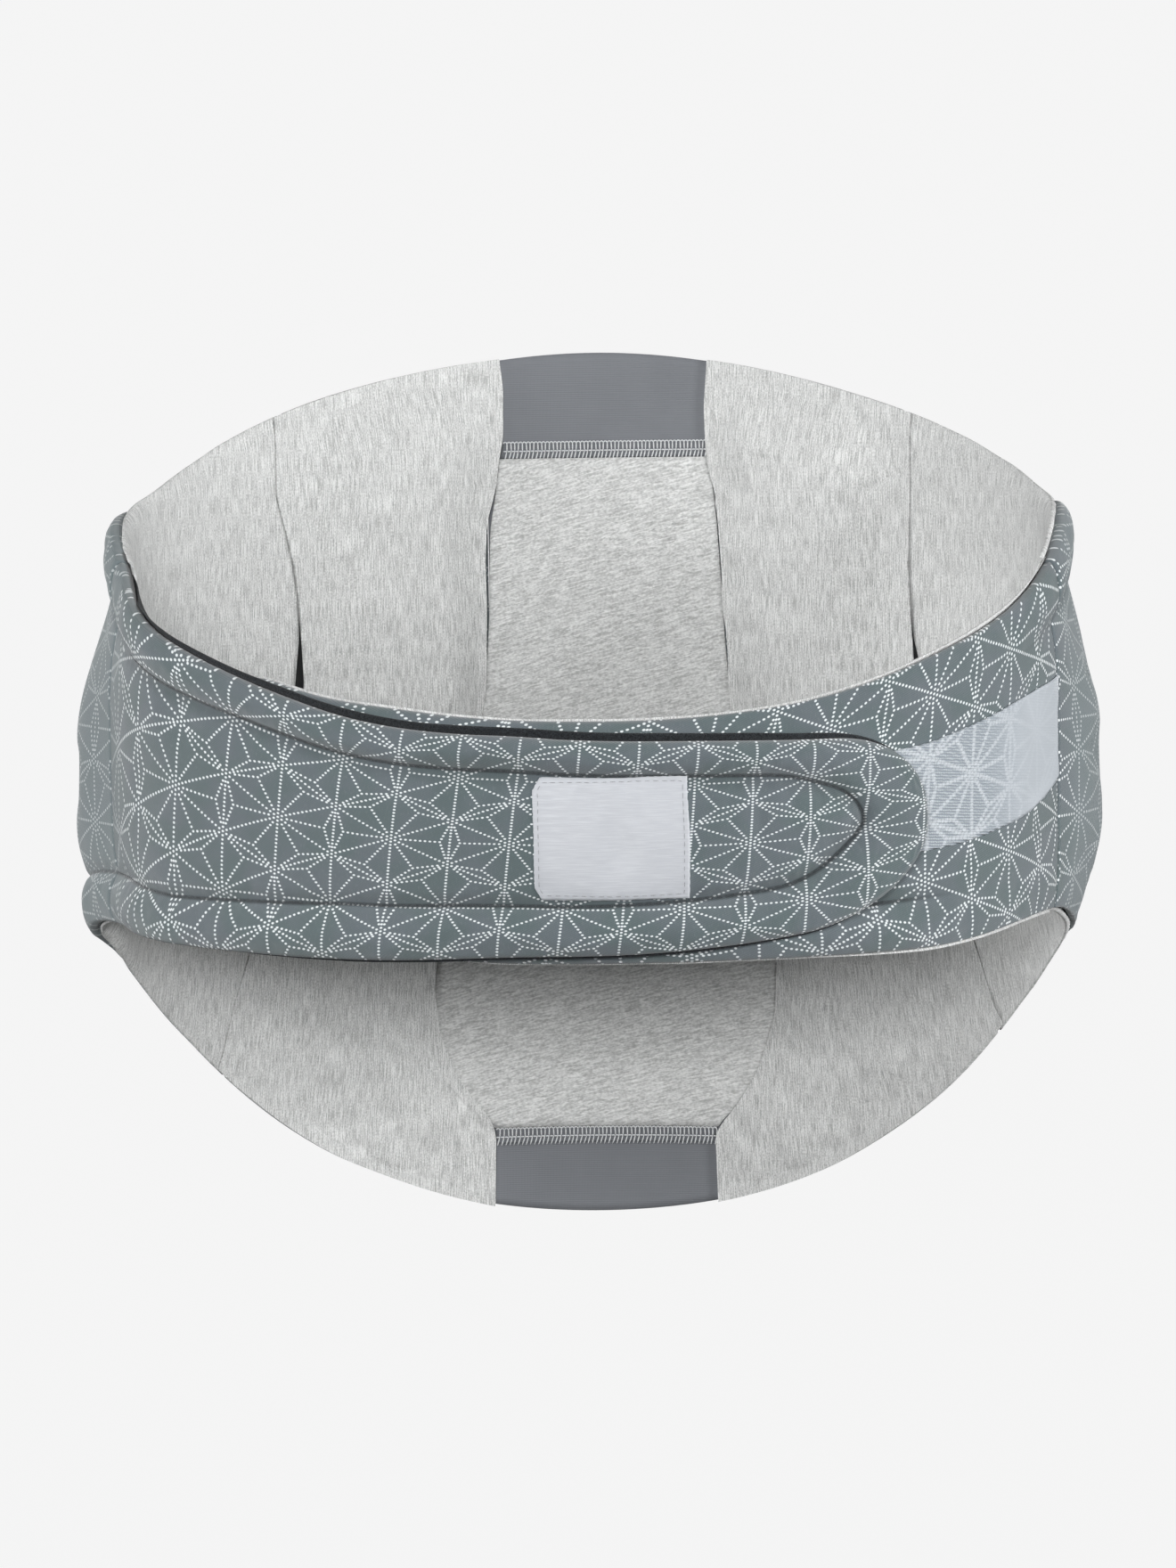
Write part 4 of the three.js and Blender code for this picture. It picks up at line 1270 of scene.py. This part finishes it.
# %% Line the straps and the sides
# The left strap's lining is painted near-black as shade, for the gap along that strap's top edge.
for half, name, slot, finish in (
    (LEFT, "left_strap_lining", "loop", shade_dark_loop_cloth), (RIGHT, "right_strap_lining", "jersey", side_jersey),
):
    piece = cut_cloth(name + "_" + slot, 120, 26)
    wrap(piece, strap_lining_spot(half))
    dress(piece, name, finish)
    declare_sheet(piece)
for half, name in ((LEFT, "left_side_lining"), (RIGHT, "right_side_lining")):
    piece = cut_cloth(name + "_jersey", 60, 80)
    wrap(piece, side_lining_spot(half))
    dress(piece, name, side_jersey)
    declare_sheet(piece)

# %% [markdown]
# ## Pads
# Two foam pads in jersey pockets lie beside the spine. A pad is thin at its edges, where it ends flush with
# the lining, and thick in the middle. Its pocket's mouth laps over the side lining with a thin lip that
# gapes a little, and the jersey beside it is creased. The face that touches the back is left free and
# settles under pressure.

# %% Outline of the pads
BACK_ARC, GAP_REACH = 3.16, 4.0
# Space between a pad and the middle of the back at heights, and the width of the crease beside it.
PAD_GAPS = {
    -1: ((-223.0, -186.0, -181.0, -166.0, -148.0, -129.0, -85.0, -40.0, 0.0,
          37.0, 56.0, 70.0, 83.0, 98.0, 106.0, 127.0, 141.0),
         (45.8, 45.6, 48.0, 61.4, 69.2, 71.9, 68.0, 58.0, 50.0,
          47.8, 47.6, 46.9, 44.6, 42.7, 40.9, 40.6, 42.4)),
    1: ((-223.0, -185.0, -177.0, -163.0, -140.0, -115.0, -85.0, -40.0,
         -5.0, 26.0, 49.0, 69.0, 86.0, 96.0, 118.0, 141.0),
        (41.0, 41.0, 49.8, 60.0, 68.5, 70.3, 68.0, 59.5,
         53.7, 51.4, 50.1, 48.8, 47.2, 44.4, 43.6, 45.5)),
}
CREASE = {
    -1: ((12.0, 24.0, 40.0, 53.0, 73.0, 80.0, 87.0), (0.0, 0.7, 1.2, 1.6, 1.6, 0.8, 0.0)),
    1: ((8.0, 15.0, 25.0, 33.0, 43.0, 50.0, 82.0, 90.0), (0.0, 0.8, 0.8, 0.1, 0.1, 0.6, 0.6, 0.0)),
}


def pad_gap(half, height):
    """Space between a pad and the middle of the back at a height, measured round the oval."""
    return smoothed(PAD_GAPS[half["side"]], height, GAP_REACH)


def crease(half, height):
    """Width of the narrow crease between a pad and the back lining."""
    return np.interp(height, *CREASE[half["side"]])


print("the pads are", round(float(pad_gap(LEFT, 0.0) + pad_gap(RIGHT, 0.0))), "mm apart at the waist")

# %% Lip and creases of a pocket
PAD_EDGE_THICK, PAD_EDGE_PROUD, PAD_SIDE_GAP, PAD_FILL_FROM = 2.3, 0.6, 0.03, 3.0
PAD_THICK, PAD_LOW_SHARE, PAD_LOW_ENDS = 13.5, 0.5, (-150.0, -50.0)
PAD_EASE_SIDE, PAD_EASE_TOP, PAD_EASE_BOTTOM = 40.0, 34.0, 60.0
PAD_EASE_WAIST, WAIST_STARTS = 22.0, (-110.0, -30.0)
LIP_SHARE, LIP_OUTER, LIP_EDGE_RISE, LIP_EDGE_REACH = 0.10, -2.4, 1.15, 8.0
LIP_ROOT, LIP_LAP, BEHIND_LIP, LIP_THICK, THIN_LIP = 7.0, 3.5, 9.0, 0.7, 0.45
FULL_LIP_STARTS, FULL_LIP_ENDS = (-110.0, -50.0), (60.0, 90.0)
LIP_GAPE, GAPE_HEIGHT, GAPE_REACH = 0.8, 40.0, 34.0
WRINKLE_DEPTH, WRINKLE_WIDTH = 1.2, 1.3
WRINKLES = {
    -1: ((137.4, 75.6), (138.6, 74.4), (139.8, 72.3)),
    1: ((141.6, 84.8), (139.8, 86.4), (138.1, 89.6), (135.6, 91.2)),
}


def lip_lift(height):
    """How far the pocket's lip stands off the side lining."""
    return LIP_GAPE * np.exp(-((height - GAPE_HEIGHT) / GAPE_REACH) ** 2)


def wrinkle(half, own, height):
    """A small crease beside the pocket's mouth, as a depth in millimetres."""
    depth = 0.0 * own
    path = WRINKLES[half["side"]]
    for (a0, b0), (a1, b1) in zip(path, path[1:]):
        along, rise = (own - a0) * SLIT_ARC, height - b0
        way = np.array([(a1 - a0) * SLIT_ARC, b1 - b0])
        share = np.clip((along * way[0] + rise * way[1]) / (way @ way), 0.0, 1.0)
        gap = np.hypot(along - share * way[0], rise - share * way[1])
        depth = np.maximum(depth, WRINKLE_DEPTH * np.exp(-(gap / WRINKLE_WIDTH) ** 2))
    return depth


# %% Place and section of a pad
def pad_spot(half):
    def spot(across, up):
        share = own_share(half, across)
        rise = crowd_edges(up, 0.7)
        back_height = mix(bottom_edge(half, BACK_SEAM), top_edge(half, BACK_SEAM), rise)
        lip = mouth(half, rise)[0]
        root = lip + LIP_ROOT / SLIT_ARC
        last = 180.0 - (pad_gap(half, back_height) + crease(half, back_height)) / BACK_ARC - PAD_SIDE_GAP
        body = crowd_edges(np.clip((share - LIP_SHARE) / (1.0 - LIP_SHARE), 0.0, 1.0), 0.5)
        own = np.where(share < LIP_SHARE, mix(lip, root, share / LIP_SHARE), mix(root, last, body))
        edge = PAD_EDGE_PROUD * np.abs(2.0 * up - 1.0) ** 8
        low, high = bottom_edge(half, own) - edge, top_edge(half, own) + edge
        height = mix(low, high, rise)
        depth = edge_depth(wing_edges[half["side"]], arc(own), height)[0]
        from_lip = (own - lip) * SLIT_ARC
        lifted = lip_lift(height) * (1.0 - ease(from_lip, 0.0, 2.0 * LIP_ROOT))
        side_ease = mix(PAD_EASE_SIDE, PAD_EASE_WAIST, ease(height, *WAIST_STARTS))
        fill = ease(from_lip, PAD_FILL_FROM, PAD_EASE_SIDE) * ease((last - own) * BACK_ARC, 0.0, side_ease)
        fill = fill * ease(height - low, 0.0, PAD_EASE_BOTTOM) * ease(high - height, 0.0, PAD_EASE_TOP)
        thick = PAD_THICK * mix(PAD_LOW_SHARE, 1.0, ease(height, *PAD_LOW_ENDS))
        near_lip = 1.0 - ease(from_lip, LIP_ROOT, 3.0 * LIP_ROOT)
        edge_rise = LIP_EDGE_RISE * (1.0 - ease(depth, 0.0, LIP_EDGE_REACH))
        face = facing(depth, 0.0) - mix(PAD_EDGE_THICK - edge_rise * near_lip, thick, fill)
        lip_outer = LIP_OUTER + edge_rise - lifted
        full_lip = ease(height, *FULL_LIP_STARTS) * (1.0 - ease(height, *FULL_LIP_ENDS))
        lip_inner = lip_outer - LIP_THICK * mix(THIN_LIP, 1.0, full_lip)
        inner = mix(face, np.minimum(face, lip_inner), near_lip)
        inner = inner + wrinkle(half, own, height)
        onto_lining = 1.0 - ease(from_lip, LIP_LAP, LIP_ROOT)
        outer = np.minimum(facing(depth, 0.0), mix(BEHIND_LIP, lip_outer, onto_lining))
        return {"station": half["side"] * own, "height": height, "inner": inner, "outer": outer}
    return spot


# %% Make the pads
PAD_PRESSURE, PAD_GIVE, PAD_GROWTH = 1.5, 1.5, 0.01
PAD_HELD_LIP, PAD_HELD_SIDE, PAD_HELD_EDGE, PAD_SHARP, PAD_FILL = 5.0, 4.0, 4.0, 50.0, 0.7

for half, name in ((LEFT, "left_pad"), (RIGHT, "right_pad")):
    piece = cut_cloth(name + "_pocket", 60, 120)
    is_back = wrap(piece, pad_spot(half))
    along, height = read_map(piece, "cut")
    own_along = half["side"] * along
    free = is_back & (own_along > float(arc(SLIT + PAD_HELD_LIP)))
    free &= own_along < float(arc(180.0)) - pad_gap(half, height) - PAD_HELD_SIDE
    free &= edge_depth(wing_edges[half["side"]], own_along, height)[0] > PAD_HELD_EDGE
    moved = settle(piece, free, PAD_PRESSURE, PAD_GIVE, PAD_GROWTH)
    refine(piece, "SIMPLE")
    bpy.ops.object.shade_smooth_by_angle(angle=math.radians(PAD_SHARP))
    dress(piece, name, side_jersey)
    print(piece.name, len(piece.data.polygons), "faces, padding moved", round(moved, 2), "mm")

# %% [markdown]
# ## Middle of the back
# A stretch panel joins the two wings down the spine. A jersey lining covers its middle, and where the
# lining ends, above and below, its edge is overlocked. All are plain sheets on the oval, so each needs only
# its outline.

# %% Make the stretch panel and the back lining
STRETCH_INNER, STRETCH_OUTER, STRETCH_BOW_TOP, STRETCH_BOW_BOTTOM = 0.4, 1.7, 1.1, 1.3
BACK_LINING_OUTER, BACK_LINING_THICK, BACK_LINING_TOP, BACK_LINING_BOTTOM = -0.3, 1.8, 98.0, -185.0
BACK_LINING_CLEAR, RUFFLE = 0.04, 0.25


def stretch_spot(across, up):
    station = mix(BACK_SEAM + SEAM_GAP, 360.0 - BACK_SEAM - SEAM_GAP, across)
    low, high = (
        mix(trim(RIGHT, edge, BACK_SEAM), trim(LEFT, edge, BACK_SEAM), across) for edge in ("bottom", "top")
    )
    bow = np.sin(math.pi * across)
    bottom = mix(SIDE_BOTTOM, BACK_BOTTOM, crown(station)) + low + STRETCH_BOW_BOTTOM * bow
    top = mix(SIDE_TOP, BACK_TOP, crown(station)) + high + STRETCH_BOW_TOP * bow
    full = np.ones_like(across)
    return {"station": station, "height": mix(bottom, top, up), "inner": STRETCH_INNER * full,
            "outer": STRETCH_OUTER * full}


def between_pads(across, height, clear):
    """Stations from the right pad to the left one, a clear distance off both, in degrees."""
    right = 180.0 - (pad_gap(RIGHT, height) / BACK_ARC - clear)
    left = 180.0 + (pad_gap(LEFT, height) / BACK_ARC - clear)
    return mix(right, left, across)


def back_lining_spot(across, up):
    height = mix(BACK_LINING_BOTTOM, BACK_LINING_TOP, up)
    station = between_pads(across, height, BACK_LINING_CLEAR)
    ruffle = RUFFLE * np.sin(height / 8.0 + station) * (1.0 - np.abs(2.0 * across - 1.0))
    outer = BACK_LINING_OUTER + 0.0 * across
    return {"station": station, "height": height, "inner": outer - BACK_LINING_THICK - ruffle, "outer": outer}


stretch_panel = cut_cloth("back_stretch_panel_knit", 28, 110)
wrap(stretch_panel, stretch_spot)
dress(stretch_panel, "back_stretch_panel", stretch_knit)
declare_sheet(stretch_panel)
back_lining = cut_cloth("back_lining_jersey", 40, 90)
wrap(back_lining, back_lining_spot)
dress(back_lining, "back_lining", back_jersey)

# %% Make the overlocked edges
OVERLOCK_HEIGHT, OVERLOCK_THICK, OVERLOCK_GAP, OVERLOCK_CLEAR = 6.5, 1.4, 0.4, 0.1


def overlock_spot(bottom):
    def spot(across, up):
        height = bottom + OVERLOCK_HEIGHT * up
        full = np.ones_like(across)
        return {"station": between_pads(across, height, OVERLOCK_CLEAR), "height": height,
                "inner": (BACK_LINING_OUTER - OVERLOCK_THICK) * full, "outer": BACK_LINING_OUTER * full}
    return spot


overlocks = {
    "overlock_top": BACK_LINING_TOP + OVERLOCK_GAP,
    "overlock_bottom": BACK_LINING_BOTTOM - OVERLOCK_GAP - OVERLOCK_HEIGHT,
}
for name, bottom in overlocks.items():
    piece = cut_cloth(name + "_strip", 60, 8)
    wrap(piece, overlock_spot(bottom))
    dress(piece, name, raw_edge)
declare_sheet(back_lining)

# %% [markdown]
# ## Hook tape and label
# The tape is a strip of hooks on the right strap, partly under the left one. The label is sewn on the left
# strap. Both lie on finished, settled cloth, so their shape is read from the strap's own face: for each
# point of the cut, the nearest points of the face give a place and a direction outwards.

# %% Face of a finished strap
def face_of(piece):
    """Returns a look-up from cloth measures to places and directions on a piece's outer face."""
    points, normals = read_points(piece), read_normals(piece)
    along, across = read_map(piece, "cut")
    facing_out = np.flatnonzero(np.sum(normals * outward(points), axis=1) > 0.3)
    tree = KDTree(len(facing_out))
    for index in facing_out:
        tree.insert((along[index], across[index], 0.0), int(index))
    tree.balance()

    def look(at_along, at_across):
        places, directions = np.empty((len(at_along), 3)), np.empty((len(at_along), 3))
        for k, (a, b) in enumerate(zip(at_along, at_across)):
            near = tree.find_n((a, b, 0.0), 6)
            index = [n[1] for n in near]
            weight = np.array([1.0 / (0.05 + n[2]) ** 2 for n in near])
            weight /= weight.sum()
            places[k] = weight @ points[index]
            directions[k] = weight @ normals[index]
        return places, directions / np.linalg.norm(directions, axis=1, keepdims=True)
    return look


faces = {side: face_of(piece) for side, piece in straps.items()}


def lay_on(piece, look, outline, gap, thickness):
    """Lays a flat cut on a face. outline turns shares into cloth measures."""
    flat = read_points(piece)
    is_back = flat[:, 2] < -CUT_THICKNESS / 2
    along, across = outline(flat[:, 0] + 0.5, flat[:, 1] + 0.5)
    places, directions = look(along, across)
    rise = np.where(is_back, gap, gap + thickness)[:, None] * MM
    write_points(piece, places + directions * rise)
    piece.data.uv_layers.active.name = "cut"
    write_map(piece, "cut", along, across)
    bpy.ops.object.shade_smooth()


# %% Make the tape and the label
TAPE_FROM, TAPE_TO = 33.0, 74.0
TAPE_TOP = ((33.0, 39.7, 44.8, 50.7, 57.5, 66.3, 74.0), (-8.0, -4.5, -2.0, 2.3, 7.4, 13.1, 17.8))
TAPE_BOTTOM = ((33.0, 41.7, 48.6, 53.7, 60.4, 64.7, 68.7, 72.7, 74.0),
               (-45.0, -42.8, -40.7, -38.3, -34.4, -31.6, -27.6, -22.7, -20.5))
LAID_GAP, TAPE_THICK, LABEL_THICK = 0.15, 0.7, 0.5
LABEL = {"from": -3.4, "to": 13.1, "bottom": -54.0, "top": -10.0, "corner": 4.5}


def tape_outline(across, up):
    own = mix(TAPE_FROM, TAPE_TO, across)
    return arc(own), mix(np.interp(own, *TAPE_BOTTOM), np.interp(own, *TAPE_TOP), up)


def label_outline(across, up):
    first, last = float(arc(LABEL["from"])), float(arc(LABEL["to"]))
    height = mix(LABEL["bottom"], LABEL["top"], up)
    from_end = np.minimum(height - LABEL["bottom"], LABEL["top"] - height)
    chamfer = np.maximum(0.0, LABEL["corner"] - from_end) * 0.55
    along = mix(first + chamfer, last, across)
    return along + uneven(height, 0.25), height + uneven(along + 40.0, 0.2)


piece = cut_cloth("hook_tape_strip", 110, 44)
lay_on(piece, faces[1], tape_outline, LAID_GAP, TAPE_THICK)
along, height = read_map(piece, "cut")
write_map(piece, "star", *star_map(RIGHT, np.interp(along, ruler_arcs, ruler_stations), height))
dress(piece, "hook_tape", hook_nylon)
declare_sheet(piece)
label_piece = cut_cloth("label_satin_patch", 60, 48)
lay_on(label_piece, faces[-1], label_outline, LAID_GAP, LABEL_THICK)
dress(label_piece, "label", label_satin)
declare_sheet(label_piece)

# %% [markdown]
# ## Stitches
# One stitch is a short rounded thread: a small sphere drawn out, with few faces because it is repeated
# hundreds of times. Copies are laid head to tail along the seams, each turned along its seam and on to the
# cloth.

# %% Stitch helpers
def stitch_shape():
    bpy.ops.object.select_all(action="DESELECT")
    bpy.ops.mesh.primitive_uv_sphere_add(segments=6, ring_count=5, radius=1.0, location=(0, 0, 0))
    pattern = bpy.context.object
    points = read_points(pattern)
    rings = [tuple(polygon.vertices) for polygon in pattern.data.polygons]
    bpy.data.objects.remove(pattern)
    return points[:, [2, 0, 1]], rings


STITCH_POINTS, STITCH_FACES = stitch_shape()


def sew(name, stitches, radius, thread):
    """Makes one piece of many stitches. Each is a start, an end and the cloth's direction outwards."""
    points, rings = [], []
    for start, end, out in stitches:
        run = (end - start) / 2.0
        side = np.cross(out, run)
        side /= np.linalg.norm(side)
        up = np.cross(run, side)
        up /= np.linalg.norm(up)
        axes = np.stack([run, side * radius * MM, up * radius * MM])
        rings += [tuple(k + len(points) * len(STITCH_POINTS) for k in ring) for ring in STITCH_FACES]
        points.append((start + end) / 2.0 + STITCH_POINTS @ axes)
    mesh = bpy.data.meshes.new(name)
    mesh.from_pydata(np.concatenate(points).tolist(), [], rings)
    piece = bpy.data.objects.new(name, mesh)
    bpy.context.collection.objects.link(piece)
    select_only(piece)
    bpy.ops.object.shade_smooth()
    mesh.materials.append(thread)
    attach(piece, "root")
    print(name, len(stitches), "stitches")


# %% Stitches along a path
STITCH_RISE = 0.05


def dashes(path, look, length, gap):
    """Stitches along a path of cloth measures, laid on a face."""
    runs = np.concatenate([[0.0], np.cumsum(np.linalg.norm(np.diff(path, axis=0), axis=1))])
    starts = np.arange(gap, runs[-1] - length, length + gap)
    at = np.concatenate([starts, starts + length])
    places, directions = look(np.interp(at, runs, path[:, 0]), np.interp(at, runs, path[:, 1]))
    places = places + directions * STITCH_RISE * MM
    half = len(starts)
    return [(places[k], places[k + half], directions[k]) for k in range(half)]


def seam_path(half, row, last):
    """The stitch row beside an edge: the edge moved inwards by the width of its border."""
    way = np.gradient(row[:, :2], axis=0)
    way /= np.linalg.norm(way, axis=1, keepdims=True)
    path = row[:, :2] + np.stack([way[:, 1], -way[:, 0]], axis=-1) * row[:, 2:3]
    return path[path[:, 0] < last] * np.array([half["side"], 1.0])


# %% Sew the straps
STRAP_STITCH, STRAP_SPACE, STRAP_THREAD, SEEN_FURROW = 2.4, 0.6, 0.2, 0.3

for half, name in ((LEFT, "left_strap_stitches"), (RIGHT, "right_strap_stitches")):
    row = strap_edges[half["side"]]["rows"][0]
    path = seam_path(half, row, float(arc(STRAP_SEAM)) - 1.0)
    own = np.interp(half["side"] * path[:, 0], ruler_arcs, ruler_stations)
    path = path[soft_furrow(half, own, path[:, 1]) < SEEN_FURROW]
    stitches = dashes(path, faces[half["side"]], STRAP_STITCH, STRAP_SPACE)
    sew(name, stitches, STRAP_THREAD, grey_thread)

# %% Sew the label
LABEL_INSET, LABEL_WIDTH, LABEL_HEIGHT = 1.6, 53.0, 44.0
LABEL_STITCH, LABEL_SPACE, LABEL_THREAD = 2.0, 0.9, 0.16
corner_shares = [(0.0, 0.0), (1.0, 0.0), (1.0, 1.0), (0.0, 1.0), (0.0, 0.0)]
inset_across, inset_up = LABEL_INSET / LABEL_WIDTH, LABEL_INSET / LABEL_HEIGHT
label_ring = []
for (a0, b0), (a1, b1) in zip(corner_shares, corner_shares[1:]):
    run = np.linspace(0.0, 1.0, 60)
    across = mix(inset_across, 1.0 - inset_across, mix(a0, a1, run))
    up = mix(inset_up, 1.0 - inset_up, mix(b0, b1, run))
    label_ring.append(np.stack(label_outline(across, up), axis=-1))
label_path = np.concatenate(label_ring)
label_sewing = dashes(label_path, face_of(label_piece), LABEL_STITCH, LABEL_SPACE)
sew("label_stitches", label_sewing, LABEL_THREAD, label_thread)

# %% [markdown]
# ### Overlock thread
# An overlock wraps the raw edge with thread: a chain along the edge, a bar over it at each stitch and a
# needle line below. The threads are short stitches again, laid out in that order along the strip.

# %% Sew the overlocked edges
OVERLOCK_PITCH, OVERLOCK_THREAD, THREAD_PROUD, NEEDLE_SHARE = 1.62, 0.33, 0.12, 0.42


def on_strip(along, height):
    station = np.interp(along, ruler_arcs, ruler_stations)
    offset = BACK_LINING_OUTER - OVERLOCK_THICK - THREAD_PROUD + 0.0 * along
    return on_oval(station, height, offset) * MM


def overlock_threads(bottom):
    back = float(arc(180.0))
    reaches = [float(pad_gap(half, bottom + OVERLOCK_HEIGHT / 2.0)) + 0.6 for half in (RIGHT, LEFT)]
    marks = np.arange(back - reaches[0], back + reaches[1] - OVERLOCK_PITCH, OVERLOCK_PITCH)
    top, needle = bottom + OVERLOCK_HEIGHT, bottom + NEEDLE_SHARE * OVERLOCK_HEIGHT
    lines = []
    for k, mark in enumerate(marks):
        sway = 0.18 * math.sin(1.7 * k)
        lines.append(((mark, top - 0.2), (mark + sway, needle)))
        lines.append(((mark + sway, needle), (mark + 0.65 * OVERLOCK_PITCH, bottom - 1.1)))
        lines.append(((mark, top - 0.5), (mark + 0.5 * OVERLOCK_PITCH, top + 0.25)))
        lines.append(((mark + 0.5 * OVERLOCK_PITCH, top + 0.25), (mark + OVERLOCK_PITCH, top - 0.5)))
        lines.append(((mark, needle), (mark + OVERLOCK_PITCH, needle + 0.1 * sway)))
    starts, ends = (np.array([line[k] for line in lines]) for k in (0, 1))
    first, last = on_strip(starts[:, 0], starts[:, 1]), on_strip(ends[:, 0], ends[:, 1])
    return [(a, b, -out) for a, b, out in zip(first, last, outward(first))]


for name, bottom in overlocks.items():
    sew(name + "_threads", overlock_threads(bottom), OVERLOCK_THREAD, pale_thread)
